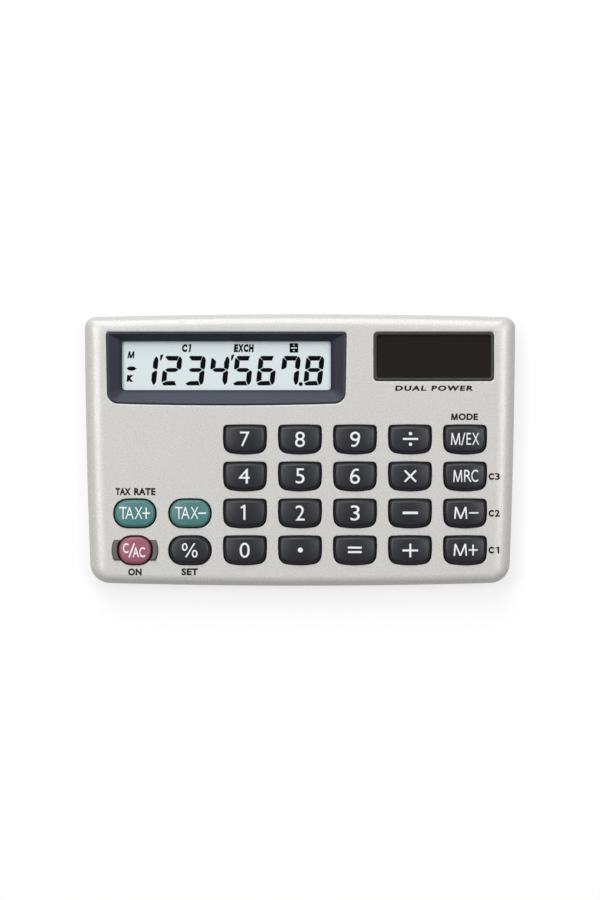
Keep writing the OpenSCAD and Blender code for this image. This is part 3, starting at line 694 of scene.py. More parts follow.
# Float glass: pale and faintly green at its edges, which are all that shows of it.
glass = grained("float_glass", "#BFD3CC", "#C9DBD5", 0.12, 2.0, 0.001, IOR=1.52)
finish_node("display_glass", glass)
# Aluminised film: a bright soft mirror that gives the light back through the cell.
reflector = grained("aluminised_reflector_film", "#C8CDCC", "#D6DADA", 0.32, 0.2, 0.002, Metallic=1.0)
finish_node("rear_reflector", reflector)
# Printed polyester ribbon: dark, with the faint sheen of film. It joins the glass to the board.
finish_node("display_ribbon", grained("carbon_printed_polyester", "#36332F", "#443F3A", 0.4, 0.25, 0.002))
# Open-cell foam: matt and pitted. It presses the glass up against the bezel.
finish_node("display_cushion", grained("open_cell_foam", "#303030", "#444444", 0.9, 0.35, 0.08))

# The seven segments of a figure before it leans, from the lower left corner of its place.
segments = {
    "a": [(0.54, 7.15), (0.22, 6.84), (1.04, 5.98), (3.22, 5.98), (3.53, 7.13)],
    "b": [(3.14, 5.51), (3.24, 4.24), (3.96, 3.82), (4.28, 3.85), (4.42, 4.39), (4.42, 6.01), (4.29, 6.44),
          (3.93, 6.97), (3.56, 6.91)],
    "c": [(3.16, 3.0), (3.18, 1.18), (3.74, 0.03), (4.18, 0.28), (4.42, 0.93), (4.42, 3.01), (4.37, 3.35),
          (4.07, 3.63)],
    "d": [(0.33, 0.1), (0.65, -0.08), (3.62, -0.05), (3.1, 1.03), (1.05, 0.96), (0.11, 0.45)],
    "e": [(-0.1, 3.3), (-0.1, 0.97), (0.09, 0.72), (1.16, 1.2), (1.07, 3.01), (0.24, 3.56)],
    "f": [(-0.1, 4.18), (0, 3.9), (0.34, 3.81), (1.14, 4.3), (1.15, 5.73), (1.02, 5.96), (0.24, 6.63),
          (-0.07, 6.53)],
    "g": [(0.95, 3.33), (1.28, 3.2), (2.97, 3.2), (3.25, 3.31), (3.82, 3.72), (3.34, 4.07), (3.0, 4.18),
          (1.28, 4.18), (0.96, 4.07), (0.48, 3.72)],
}
figures = ["bc", "abged", "abgcd", "fbgc", "afgcd", "afgecd", "fabc", "abcdefg"]
digit_pitch = 5.784
digit_slant = math.tan(math.radians(6.25))
second_digit = Vector((-33.84, 15.84))
film_top = span("front_polariser")[3]
mark_t = 0.016
mark_z = film_top + 0.004
mark_low = mark_z - mark_t / 2
mark_high = mark_z + mark_t / 2
bm = bmesh.new()


def mark(points, centre):
    """Adds one switched-on shape of the display."""
    prism(bm, [Vector(p) for p in points], mark_low, mark_high, centre)


for i, lit in enumerate(figures):
    corner = second_digit + Vector(((i - 1) * digit_pitch, 0))
    for name in lit:
        mark([(x + y * digit_slant, y) for x, y in segments[name]], corner)
# The decimal point, the marks of the thousands and the bar at the left.
mark(circle(0.5, 20), (0.19, 16.1))
comma = [(-0.41, -0.3), (-0.39, -0.79), (-0.06, -0.61), (0.29, 0.28), (0.44, 0.74), (0.08, 0.73),
         (-0.35, 0.55)]
for x in (-33.77, -16.44):
    mark(comma, (x, 22.58))
left_bar = [(-1.24, 0), (-0.65, 0.46), (0, 0.56), (0.7, 0.42), (1.24, 0), (0.7, -0.4), (0, -0.55),
            (-0.65, -0.44)]
mark(left_bar, (-41.12, 19.88))
# Small signs in a row above the figures, each letter with its middle and its width, and two at the left.
sign_y = 24.87
sign_h = 1.95
for text, x, wide in (("C", -28.16, 1.29), ("E", -15.62, 1.1), ("X", -14.45, 1.39), ("C", -13.16, 1.17),
                      ("H", -11.89, 1.22)):
    lettering(bm, text, (x, sign_y), sign_h, wide, mark_z, bold=0.075, slant=0.08, thick=mark_t)
figure_one(bm, (-27.07, sign_y), sign_h, mark_z, slant=0.12, thick=mark_t)
lettering(bm, "K", (-41.51, 17.49), 1.66, 1.71, mark_z, bold=0.105, slant=0.12, thick=mark_t)
letter_m(bm, (-41.22, 23.24), height=1.75, width=1.63, stroke=0.34, z=mark_z, slant=0.14, thick=mark_t)
# A dark box, in which a divide sign is left clear.
box_mid = (-1.5, 24.92)
bar_half = Vector((0.7, 0.15))
dot_r = 0.14
dot_stretch = 1.7
dot_y = 0.66
divide_sign = [[bar_half * Vector(p) for p in ((-1, -1), (1, -1), (1, 1), (-1, 1))]]
divide_sign += [[Vector((dot_stretch * p.x, p.y + y)) for p in circle(dot_r, 12)] for y in (dot_y, -dot_y)]
prism(bm, outline(2.07, 2.3, 0.2, 0.2), mark_low, mark_high, box_mid, divide_sign)
join_letters(bm)
# Switched liquid crystal: nearly black, with a faint drift of tone.
crystal = grained("switched_liquid_crystal", "#0B0B0D", "#111113", 0.6, 0.5, 0.001, IOR=1.05)
piece("display_marks", bm, crystal, slot="display_glass")

# Solar bezel, window and cell
# A charcoal frame dropped into the face from inside, a smoked acrylic pane under its lip, and below it an
# amorphous-silicon cell on glass with two insulated wires soldered to its back.
solar_rim = 0.75
solar_edge = 0.22
solar_sink = 0.6
solar_step = 0.25
profile = bezel_flank(solar_edge)
profile += [(solar_edge * left - solar_rim, face_z - solar_edge * gone) for gone, left in quarter(4)]
profile += [(-solar_rim, face_z - solar_sink), (solar_step - solar_rim, face_z - solar_sink),
            (solar_step - solar_rim, bezel_low)]
bm = bmesh.new()
loops = [ring(bm, solar_outline(out), z, solar_mid.xy) for out, z in profile]
bridge(bm, *loops, loops[0])
# Charcoal ABS with a fine spark-eroded skin: nearly black, with a soft even sheen.
charcoal = grained("spark_eroded_charcoal_ABS", "#272726", "#2D2D2B", 0.42, 0.1, 0.002, IOR=1.53)
piece("solar_frame", bm, charcoal, stands_for=["solar_bezel"], slot="bezel_plastic", crease=55)
# Smoked acrylic: a deep brown-black gloss through which the cell is only just seen.
finish_node("solar_window", acrylic("polished_smoked_acrylic", "#2A2422", 0.72, 5, 0.05, 0.12))
# Amorphous silicon: dark violet-brown, cut by the laser into four strips with fine bright lines.
silicon, tree = material("amorphous_silicon_on_glass")
cell_w = span("solar_cell")[1].x
cell_left = solar_mid.x - cell_w / 2
place = add(tree, "ShaderNodeTexCoord").outputs["Object"]
shifted = add(tree, "ShaderNodeMapping", {"Vector": place, "Location": (-cell_left * mm, 0, 0)})
strips = add(tree, "ShaderNodeTexBrick", {
    "Vector": shifted.outputs["Vector"], "Scale": 1.0, "Brick Width": cell_w / 4 * mm, "Row Height": 1.0,
    "Mortar Size": 0.1 * mm, "Color1": linear("#2A2226"), "Color2": linear("#2E2528"),
    "Mortar": linear("#5A4A48")}, offset=0.0)
cell_face = add(tree, "ShaderNodeBsdfPrincipled", {
    "Base Color": strips.outputs["Color"], "Roughness": 0.25, "IOR": 1.52})
add(tree, "ShaderNodeOutputMaterial", {"Surface": cell_face.outputs["BSDF"]})
finish_node("solar_cell", silicon)
# Extruded PVC sleeve: a soft red sheen.
finish_node("solar_leads", grained("extruded_red_PVC", "#A02C28", "#B03630", 0.45, 0.3, 0.002))

# Clear-key guard
# Two raised crescents of grey ABS beside the clear key, one moulding that is staked under the face. They
# keep a finger in a pocket or bag from pressing the key by accident.


def shrunk(points, distance):
    """Moves each side of a closed plan inward by a distance."""
    moved = []
    for i, p in enumerate(points):
        before = (p - points[i - 1]).normalized()
        after = (points[(i + 1) % len(points)] - p).normalized()
        normal = Vector((-before.y - after.y, before.x + after.x)).normalized()
        share = max(normal.dot(Vector((-after.y, after.x))), 0.5)
        moved.append(p + normal * distance / share)
    return moved


def side_at(points, y):
    """How far right a closed plan reaches at one y."""
    sides = [(p, q) for p, q in zip(points, points[1:]) if p.y != q.y and min(p.y, q.y) <= y <= max(p.y, q.y)]
    return max(p.x + (y - p.y) * (q.x - p.x) / (q.y - p.y) for p, q in sides)


clear_at = key_place["key_clear"]
guard_top = span("clear_key_guard")[3]
guard_edge = 0.35
# The feet lie under the face and are wider than the crescents.
foot_half = 2.6
foot_t = 0.45
foot_in = clear_key_w / 2 + 0.7
foot_out = guard_r + 0.3
sweep = [i / 10 - 1 for i in range(21)]
hole_side = key_outline("key_clear", key_gap)
half_turn = math.asin(guard_half / guard_r)
crescent = [guard_r * Vector((math.cos(half_turn * s), math.sin(half_turn * s))) for s in sweep]
crescent += [Vector((side_at(hole_side, -guard_half * s), -guard_half * s)) for s in sweep]
foot = [Vector(p) for p in ((foot_in, -foot_half), (foot_out, -foot_half), (foot_out, foot_half),
                            (foot_in, foot_half))]
bm = bmesh.new()
for turn in (1, -1):
    plan = [turn * p for p in crescent]
    loops = [ring(bm, plan, ceiling_z + slack, clear_at)]
    loops += [ring(bm, shrunk(plan, guard_edge * gone), guard_top - guard_edge * left, clear_at)
              for gone, left in quarter(4)]
    bridge(bm, *loops)
    fill(bm, loops[0])
    fill(bm, loops[-1])
    prism(bm, [turn * p for p in foot], ceiling_z - slack - foot_t, ceiling_z - slack, clear_at)
# Grey ABS with a fine spark-eroded skin: a warm dark grey with a soft sheen.
guard_grey = grained("spark_eroded_grey_ABS", "#5C5A57", "#666460", 0.4, 0.1, 0.002, IOR=1.53)
piece("guard_crescents", bm, guard_grey, stands_for=["clear_key_guard"], slot="guard_plastic")

# Keys
# Each key is a hollow base, with a plunger and a flange that keeps it in the face, and a coloured cap of ABS
# with a crowned top and a rounded edge. The base is black up to just above the face: painted shade in the
# gap.
ink_room = 0.02
key_low = span("key_5")[2]
key_top = span("key_5")[3] - ink_room
flange_t = 0.6
key_edge = 0.6
key_draft = 0.2
key_wall = 1.0
key_crown = 0.4
side_lean = 0.02
# The cap's colour starts this far above the face; below it the base's black is painted shade.
cap_low = face_z + 0.1
roof_z = key_top - key_crown - key_wall
plunger_r = 1.5
crown_r = bow_radius(key_w / 2, key_crown)
# Moulded ABS: three colours with a satin skin that brightens a little along the back edge of each key.
dark_key = grained("satin_charcoal_ABS", "#1E1F26", "#23242C", 0.32, 0.12, 0.003, IOR=1.47)
green_key = grained("satin_teal_ABS", "#3E7878", "#45807F", 0.36, 0.12, 0.003, IOR=1.6)
red_key = grained("satin_raspberry_ABS", "#995064", "#A3596D", 0.36, 0.12, 0.003, IOR=1.6)
key_paint = {"key_tax_plus": green_key, "key_tax_minus": green_key, "key_clear": red_key}
key_slot = {"key_tax_plus": "green_key", "key_tax_minus": "green_key", "key_clear": "red_key"}


def crown(p, drop=0.0):
    """Height of a key's crowned top at a point, less a drop."""
    return key_top - drop - p.length_squared / (2 * crown_r)


# The base from the foot of its inner wall, round the flange and up to the cap: growth and level.
base_profile = [(-key_wall, key_low), (flange_w, key_low), (flange_w, key_low + flange_t),
                (2 * side_lean - key_draft, key_low + flange_t), (side_lean - key_draft, cap_low)]
for name in key_names:
    bm = bmesh.new()
    at = key_place[name]
    base = [ring(bm, key_outline(name, grow), z, at) for grow, z in base_profile]
    cap = [base[-1]]
    for gone, left in quarter(6):
        plan = key_outline(name, -key_edge * gone - key_draft)
        cap.append(ring(bm, plan, lambda p, left=left: crown(p, key_edge * left), at))
    rim_plan = key_outline(name, -key_edge - key_draft)
    for share in (0.97, 0.86, 0.72, 0.58, 0.44, 0.3, 0.16, 0.05):
        cap.append(ring(bm, [share * p for p in rim_plan], crown, at))
    bridge(bm, *cap)
    fill(bm, cap[-1])
    roof = ring(bm, key_outline(name, -key_wall), roof_z, at)
    plunger = [ring(bm, circle(plunger_r), z, at) for z in (roof_z, key_low)]
    # The base, its inner wall and the plunger take the black, which stands as painted shade in the gap round
    # the key.
    bridge(bm, *base, skin=1)
    bridge(bm, base[0], roof, skin=1)
    bridge(bm, *plunger, skin=1)
    fill(bm, roof, plunger[0], skin=1)
    fill(bm, plunger[1], skin=1)
    piece(name + "_moulding", bm, key_paint.get(name, dark_key), black_and_gap_shade, body=name + "_cap", stands_for=[name],
          slot=key_slot.get(name, "dark_key"), crease=45)

# Key legends
# White figures and signs, pad-printed on the crowned tops of the keys. The ink is a thin skin, and it
# follows the crown.

# Letters and figures: each text, the middle of its place on the key, its width and its height.
legends = {
    "key_0": [("0", -0.07, 0.05, 2.44, 3.68)],
    "key_2": [("2", 0.02, 0.12, 2.24, 3.7)],
    "key_3": [("3", 0.02, 0.12, 2.24, 3.7)],
    "key_4": [("4", -0.19, 0.1, 2.66, 3.63)],
    "key_5": [("5", 0.02, 0.15, 2.17, 3.68)],
    "key_7": [("7", -0.05, 0.12, 2.31, 3.61)],
    "key_8": [("8", 0, 0.05, 2.41, 3.73)],
    "key_memory_exchange": [("E", 0.89, 0.17, 1.1, 2.92), ("X", 2.58, 0.17, 1.7, 2.92)],
    "key_memory_recall": [("R", 0.65, 0.17, 1.78, 2.92), ("C", 2.34, 0.17, 1.7, 2.97)],
    "key_tax_plus": [("T", -2.87, 0.12, 1.78, 2.95), ("A", -1.3, 0.12, 2.08, 2.95),
                     ("X", 0.9, 0.12, 1.94, 2.95)],
    "key_tax_minus": [("T", -2.68, 0.12, 1.78, 2.95), ("A", -1.1, 0.12, 2.08, 2.95),
                      ("X", 1.14, 0.12, 1.94, 2.95)],
    "key_clear": [("C", -2.22, 0.56, 1.36, 2.46), ("AC", 0.97, -0.44, 3.07, 2.48)],
}
# How far the strokes of some legends are fattened or thinned, where it isn't the plain amount.
plain_bold = -0.001
legend_bold = {"key_7": -0.006, "key_memory_exchange": -0.003, "key_tax_plus": -0.004,
               "key_tax_minus": -0.004, "key_clear": 0.015}
# The letter M: its middle along the key, its width and its stroke.
memory_ms = {"key_memory_exchange": (-2.31, 2.28, 0.28), "key_memory_recall": (-1.78, 2.2, 0.28),
             "key_memory_minus": (-1.07, 3.2, 0.37), "key_memory_plus": (-1.17, 3.28, 0.37)}
# Bars: the middle of each, its width, its height and its turn in degrees.
bars = {
    "key_minus": [(0.05, 0.15, 3.73, 0.61, 0)],
    "key_plus": [(0.05, 0, 3.78, 0.47, 0), (0.05, 0, 0.47, 3.31, 0)],
    "key_multiply": [(0.07, 0.1, 3.9, 0.47, 45), (0.07, 0.1, 3.9, 0.47, -45)],
    "key_divide": [(0.1, 0.15, 3.73, 0.49, 0)],
    "key_equals": [(-0.05, 0.69, 3.34, 0.49, 0), (-0.05, -0.4, 3.34, 0.49, 0)],
    "key_memory_minus": [(2.1, 0.15, 2.29, 0.35, 0)],
    "key_memory_plus": [(1.95, 0.1, 2.22, 0.36, 0), (1.93, 0.1, 0.37, 2.66, 0)],
    "key_memory_exchange": [(-0.46, 0.12, 0.26, 3.2, -14)],
    "key_tax_plus": [(2.77, 0.07, 1.9, 0.34, 0), (2.75, 0.07, 0.34, 2.78, 0)],
    "key_tax_minus": [(2.97, 0.07, 1.92, 0.37, 0)],
    "key_clear": [(-0.77, 0.02, 0.36, 3.67, -21)],
    "key_percent": [(0.06, 0.05, 0.34, 4, -32)],
}
# Dots: the middle of each and its radius. Ovals: the middle of each, its width, its height and its stroke.
dots = {"key_point": [(0.07, 0.1, 0.61)], "key_divide": [(0.1, 1.44, 0.41), (0.1, -1.15, 0.41)]}
ovals = {"key_percent": [(-1.27, 0.85, 1.41, 1.9, 0.35), (1.17, -0.8, 1.41, 1.85, 0.35)]}
cut_step = 0.8
ink_lift = 0.005


def oval(bm, centre, wide, tall, stroke):
    """Adds an oval ring."""
    loops = []
    for thin, side in ((0, -0.5), (0, 0.5), (stroke, 0.5), (stroke, -0.5)):
        plan = [Vector((p.x * (wide / 2 - thin), p.y * (tall / 2 - thin))) for p in circle(1, 40)]
        loops.append(ring(bm, plan, side * ink_t, centre))
    bridge(bm, *loops, loops[0])


def figure_six(bm, centre, wide, tall, stroke, up):
    """Adds the figure 6, or with up -1 the figure 9: an oval bowl and a tail that curves up from its side."""
    bowl_h = 0.61 * tall
    bowl_y = (bowl_h - tall) / 2
    oval(bm, (centre[0], centre[1] + up * bowl_y), wide, bowl_h, stroke)
    tail_x = 0.15 * wide
    across = wide / 2 + tail_x
    rise = tall / 2 - bowl_y
    swing = [math.radians(180 - 9.5 * i) for i in range(13)]
    tail = [Vector((tail_x + across * math.cos(a), bowl_y + rise * math.sin(a))) for a in swing]
    tail += [Vector((tail_x + (across - stroke) * math.cos(a), bowl_y + (rise - 0.9 * stroke) * math.sin(a)))
             for a in reversed(swing)]
    prism(bm, [p * up for p in tail], -ink_t / 2, ink_t / 2, centre)


# Pad-printing ink: an opaque white, slightly chalky, that takes the satin of the key below it.
white_ink = grained("pad_printed_white_ink", "#EDEDF0", "#F8F8FA", 0.5, 0.1, 0.001, IOR=1.5)
for name in key_names:
    bm = bmesh.new()
    at = key_place[name]
    for text, x, y, wide, tall in legends.get(name, []):
        lettering(bm, text, (x, y), tall, wide, 0, legend_bold.get(name, plain_bold))
    if name == "key_1":
        figure_one(bm, (-0.45, 0.29), height=3.65, z=0, stroke=0.134)
    if name in memory_ms:
        x, wide, stroke = memory_ms[name]
        letter_m(bm, (x, 0.15), 2.92, wide, stroke, z=0)
    for x, y, wide, tall, turn in bars.get(name, []):
        way = Vector((math.cos(math.radians(turn)), math.sin(math.radians(turn))))
        side = Vector((-way.y, way.x))
        corners = [i * wide * way + j * tall * side
                   for i, j in ((-0.5, -0.5), (0.5, -0.5), (0.5, 0.5), (-0.5, 0.5))]
        prism(bm, corners, -ink_t / 2, ink_t / 2, (x, y))
    for x, y, radius in dots.get(name, []):
        prism(bm, circle(radius, 28), -ink_t / 2, ink_t / 2, (x, y))
    for x, y, wide, tall, stroke in ovals.get(name, []):
        oval(bm, (x, y), wide, tall, stroke)
    if name in ("key_6", "key_9"):
        up = 1 if name == "key_6" else -1
        figure_six(bm, (-0.03 * up, 0.07), wide=2.4, tall=3.72, stroke=0.52, up=up)
    join_letters(bm)
    # Cuts across the flat letters let them bend over the crown.
    for way in (Vector((1, 0, 0)), Vector((0, 1, 0))):
        for i in range(-5, 6):
            bmesh.ops.bisect_plane(bm, geom=bm.verts[:] + bm.edges[:] + bm.faces[:],
                                   plane_co=way * cut_step * i * mm, plane_no=way, dist=1e-8)
    for v in bm.verts:
        height = crown(v.co.xy / mm) * mm
        v.co = (v.co.x + at.x * mm, v.co.y + at.y * mm, v.co.z + height + ink_lift * mm)
    piece("legend" + name.removeprefix("key"), bm, white_ink, body=name + "_cap",
          slot=key_slot.get(name, "dark_key"))

# Rubber keypad and contact pills
# One sheet of silicone rubber with a hollow dome under every key, and a pill of conductive carbon rubber
# moulded into the roof of each dome. The sheet lies on the circuit board and is held down by the ribs.
dome_foot = 2.9
dome_top = 1.9
dome_skin = 0.4
dome_h = key_low - slack - mat_top
mat_inset = 0.2
pin_hole_r = pin_r + 0.1
mat_right = board_box.x / 2 - mat_inset
mat_front = board_mid.y - board_box.y / 2 + mat_inset
mat_back = rows[3] + key_d / 2 + flange_w + 0.4
notch_x = columns[2] - key_w / 2 - flange_w - 0.3
notch_y = rows[1] + key_d / 2 + flange_w + 0.3
mat_plan = [Vector(p) for p in ((-mat_right, mat_front), (mat_right, mat_front), (mat_right, mat_back),
                                (notch_x, mat_back), (notch_x, notch_y), (-mat_right, notch_y))]
# Silicone rubber: a dull, slightly milky grey that catches only a wide soft light.
silicone = grained("moulded_silicone_rubber", "#93938D", "#A1A19B", 0.62, 0.2, 0.003, IOR=1.43)
bm = bmesh.new()
holes = [[place + p for p in circle(dome_foot - dome_skin, 24)] for place in key_place.values()]
holes += [[place + p for p in circle(pin_hole_r, 24)] for place in pins]
prism(bm, mat_plan, mat_low, mat_top, holes=holes)
piece("keypad_sheet", bm, silicone, stands_for=["rubber_keypad"], slot="silicone_rubber")

tree, given = tree_for("rubber_dome", ["Foot Radius", "Top Radius", "Height", "Skin"])
outer = add(tree, "GeometryNodeMeshCone", {
    "Vertices": 32, "Radius Top": given["Top Radius"], "Radius Bottom": given["Foot Radius"],
    "Depth": given["Height"]})
less = [add(tree, "ShaderNodeMath", {0: given[size], 1: given["Skin"]}, operation="SUBTRACT").outputs["Value"]
        for size in ("Top Radius", "Foot Radius", "Height")]
hollow = add(tree, "GeometryNodeMeshCone", {
    "Vertices": 32, "Radius Top": less[0], "Radius Bottom": less[1], "Depth": less[2]})
sunk = add(tree, "GeometryNodeTransform", {
    "Geometry": hollow.outputs["Mesh"], "Translation": (0, 0, -0.01 * mm)})
dome = add(tree, "GeometryNodeMeshBoolean", {
    "Mesh 1": outer.outputs["Mesh"], "Mesh 2": sunk.outputs["Geometry"]}, operation="DIFFERENCE",
    solver="EXACT")
end_tree(tree, given["Places"], dome.outputs["Mesh"], silicone)
dome_sizes = {"Foot Radius": dome_foot, "Top Radius": dome_top, "Height": dome_h, "Skin": dome_skin}
_, _, pill_low, pill_top = span("contact_pills")
pill_r = 1.25
pill_edge = 0.05
# Carbon-loaded rubber: matt black.
carbon = grained("carbon_loaded_rubber", "#1E1E20", "#262628", 0.7, 0.15, 0.002, IOR=1.45)
for name in key_names:
    at = key_place[name]
    made = run_tree("dome" + name.removeprefix("key"), tree, [(at.x, at.y, mat_top)], dome_sizes)
    dress(made, stands_for=["rubber_keypad"], slot="silicone_rubber")
    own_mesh(made)
    bm = bmesh.new()
    profile = [(pill_r - pill_edge, pill_low), (pill_r, pill_low + pill_edge), (pill_r, pill_top)]
    column(bm, at, profile, 24)
    piece("pill" + name.removeprefix("key"), bm, carbon, body=name + "_cap", stands_for=["contact_pills"],
          slot="carbon_rubber")

# Circuit board
# A sheet of glass-epoxy laminate with green-brown lacquer, held on pins of the front case. Under every dome
# it carries a comb of printed carbon bars, and its back carries the chip, a capacitor and a diode.

# Laminate: the weave of the glass cloth, 0.4 mm a thread, just shows through the lacquer.
laminate, tree = material("lacquered_glass_epoxy")
place = add(tree, "ShaderNodeTexCoord").outputs["Object"]
weave = add(tree, "ShaderNodeTexChecker", {
    "Vector": place, "Scale": 1 / (0.4 * mm), "Color1": linear("#74653A"), "Color2": linear("#7C6C40")})
cloth = add(tree, "ShaderNodeBump", {"Height": weave.outputs["Fac"], "Distance": 0.003 * mm, "Strength": 1.0})
sheet = add(tree, "ShaderNodeBsdfPrincipled", {
    "Base Color": weave.outputs["Color"], "Roughness": 0.38, "Normal": cloth.outputs["Normal"]})
add(tree, "ShaderNodeOutputMaterial", {"Surface": sheet.outputs["BSDF"]})
finish_node("main_board", laminate)

# Printed carbon ink: matt black bars with a slightly ragged tone.
carbon_ink = grained("printed_carbon_ink", "#202022", "#2A2A2C", 0.65, 0.1, 0.002)
tree, given = tree_for("carbon_combs", ["Bar Length", "Bar Width", "Bar Height", "Bar Spacing"])
size = add(tree, "ShaderNodeCombineXYZ", {
    "X": given["Bar Length"], "Y": given["Bar Width"], "Z": given["Bar Height"]})
bar = add(tree, "GeometryNodeMeshCube", {"Size": size.outputs["Vector"]})
step = add(tree, "ShaderNodeCombineXYZ", {"Y": given["Bar Spacing"]})
start = add(tree, "ShaderNodeVectorMath", {0: step.outputs["Vector"], "Scale": -2.0}, operation="SCALE")
row = add(tree, "GeometryNodeMeshLine", {
    "Count": 5, "Start Location": start.outputs["Vector"], "Offset": step.outputs["Vector"]})
comb = add(tree, "GeometryNodeInstanceOnPoints", {
    "Points": row.outputs["Mesh"], "Instance": bar.outputs["Mesh"]})
end_tree(tree, given["Places"], comb.outputs["Instances"], carbon_ink)
comb_sizes = {"Bar Length": 2.2, "Bar Width": 0.28, "Bar Height": 0.012, "Bar Spacing": 0.5}
comb_z = board_top + 0.005
comb_places = [(at.x, at.y, comb_z) for at in key_place.values()]
dress(run_tree("carbon_combs", tree, comb_places, comb_sizes), slot="board_laminate")
# Poured epoxy, dipped and moulded parts: dull black, ochre and black with a wax-like skin.
finish_node("chip_cover", grained("poured_black_epoxy", "#18181A", "#202022", 0.3, 0.6, 0.004))
finish_node("capacitor", grained("dipped_ochre_epoxy", "#B08236", "#BE9044", 0.35, 0.5, 0.004))
finish_node("clamp_diode", grained("moulded_black_epoxy", "#262628", "#2E2E30", 0.5, 0.1, 0.003))

# Button cell and its contacts
# A nickel-plated steel cell with a rolled edge lies in a round pocket of the rear cover. Two strips of
# sprung steel join it to the circuit board, one at the side of its can and one on its cap.
cell_mid, cell_box, cell_low, cell_top = span("button_cell")
cell_r = cell_box.x / 2
can_rim = 1.2
cap_r = cell_r - can_rim
cap_h = 0.35
shelf_z = cell_top - cap_h
bm = bmesh.new()
# Radius and level of each point: the can with its rolled edges, then the groove and the cap.
can = [(cell_r - 0.35, cell_low), (cell_r - 0.1, cell_low + 0.1), (cell_r, cell_low + 0.35),
       (cell_r, shelf_z - 0.25), (cell_r - 0.08, shelf_z - 0.07), (cell_r - 0.25, shelf_z)]
cap = [(cap_r + 0.15, shelf_z), (cap_r + 0.1, shelf_z - 0.12), (cap_r, shelf_z - 0.12),
       (cap_r, cell_top - 0.15), (cap_r - 0.15, cell_top)]
column(bm, cell_mid.xy, can + cap, 64)
# Nickel plate over drawn steel: bright, with a faint fine grain.
nickel = grained("nickel_plated_steel", "#BDB9B0", "#C9C5BC", 0.24, 0.08, 0.001, Metallic=1.0)
piece("button_cell_can", bm, nickel, stands_for=["button_cell"], slot="cell_steel")
# Rolled spring steel: a greyer metal with a fine grain.
spring_steel = grained("rolled_spring_steel", "#A8A39A", "#B6B1A7", 0.32, 0.06, 0.001, Metallic=1.0)
finish_node("positive_contact", spring_steel)
finish_node("negative_contact", spring_steel)

# Rear cover
# The lower shell is moulded in plain grey ABS with a fine spark-eroded skin. Its lip fits into the front
# case, four screws go up through it, and a hatch opens on the button cell. Its label recess is bare.
floor_t = 1.4
belly_w = 2.0
belly_h = 1.7
belly_corner = 2.0
seam_gap = 0.12
cover_top = seam_z - seam_gap
lip_fit = 0.1
lip_w = 0.7
lip_rise = 0.9
lip_out = wall + lip_fit
lip_in = lip_out + lip_w
lip_top = seam_z + lip_rise
recess_lip = 0.12
head_hole_r = head_r + 0.2
head_sink = 1.0
label_w = 34
label_d = 20
label_r = 1
label_depth = 0.15
label_at = Vector((columns[4] + 0.6 * pitch_x, rows[2] - pitch_y / 2))
hatch_low = span("battery_cover")[2]
hatch_t = 0.75
hatch_fit = 0.1
hatch_corner = 1.5
hatch_w = cell_box.x + 3.4
hatch_front = cell_mid.y - cell_r - 2.0
hatch_back = cell_mid.y + cell_r + 6.2
hatch_at = Vector((cell_mid.x, (hatch_front + hatch_back) / 2))
bay_z = hatch_t + hatch_fit
pocket_r = cell_r + 0.25
pocket_wall = 1.0
pocket_top = cell_low + cell_box.z - 0.6
prop_r = 1.3
prop_edge = 0.1
# Posts reach a little way into the floor, so that no gap shows at their roots.
post_low = floor_t - 0.01


def hatch_outline(grow):
    """Plan of the battery hatch about its own centre."""
    return outline(hatch_w + 2 * grow, hatch_back - hatch_front + 2 * grow, hatch_corner, hatch_corner)


bm = bmesh.new()
belly = [ring(bm, case_outline(belly_w * left, belly_corner), belly_h * gone) for gone, left in quarter(12)]
level = ring(bm, case_outline(belly_w + level_w, belly_corner), 0)
shell = [ring(bm, case_outline(seam_edge * gone), cover_top - seam_edge * left) for gone, left in quarter(3)]
shell += [ring(bm, case_outline(inset), z) for inset, z in ((lip_out, cover_top), (lip_out, lip_top),
                                                            (lip_in, lip_top), (lip_in, floor_t))]
bridge(bm, level, *belly, *shell)
outside = [level]


def recess(plan, depth, centre):
    """Adds a flat-bottomed recess with a soft edge to the cover's outside, and gives its floor's loop."""
    loops = [ring(bm, plan(recess_lip + lip_level), 0, centre)]
    loops += [ring(bm, plan(recess_lip * left), min(recess_lip, depth) * gone, centre)
              for gone, left in quarter(3)]
    if depth > recess_lip:
        loops.append(ring(bm, plan(0), depth, centre))
    bridge(bm, *loops)
    outside.append(loops[0])
    return loops[-1]


def label_outline(grow):
    """Plan of the label recess about its own centre."""
    return outline(label_w + 2 * grow, label_d + 2 * grow, label_r + grow, label_r + grow)


for place in posts:
    fill(bm, recess(lambda grow: circle(head_hole_r + grow), head_sink, place))
fill(bm, recess(label_outline, label_depth, label_at))
bay = recess(lambda grow: hatch_outline(hatch_fit + grow), bay_z, hatch_at)
mouth = [ring(bm, circle(pocket_r, 64), z, cell_mid.xy) for z in (bay_z, floor_t)]
bridge(bm, *mouth)
fill(bm, bay, mouth[0])
fill(bm, *outside)
fill(bm, shell[-1], mouth[1])
tube(bm, cell_mid.xy, pocket_r + pocket_wall, pocket_r, post_low, pocket_top)
for place in posts:
    tube(bm, place, post_r, screw_r + post_fit, post_low, boss_z - slack)
props = [Vector((columns[i] + pitch_x / 2, y)) for i in (2, 3, 5) for y in (rows[0], rows[2])]
profile = [(prop_r, post_low), (prop_r, board_low - prop_edge), (prop_r - prop_edge, board_low - slack)]
for place in props:
    column(bm, place, profile, 20)
# Grey ABS with a fine spark-eroded skin, about 0.1 mm a grain: an even, nearly matt grey.
rear_grey = grained("spark_eroded_mid_grey_ABS", "#868684", "#92928F", 0.48, 0.12, 0.006, IOR=1.53)
piece("rear_shell", bm, rear_grey, stands_for=["rear_cover"], slot="rear_plastic", crease=50)

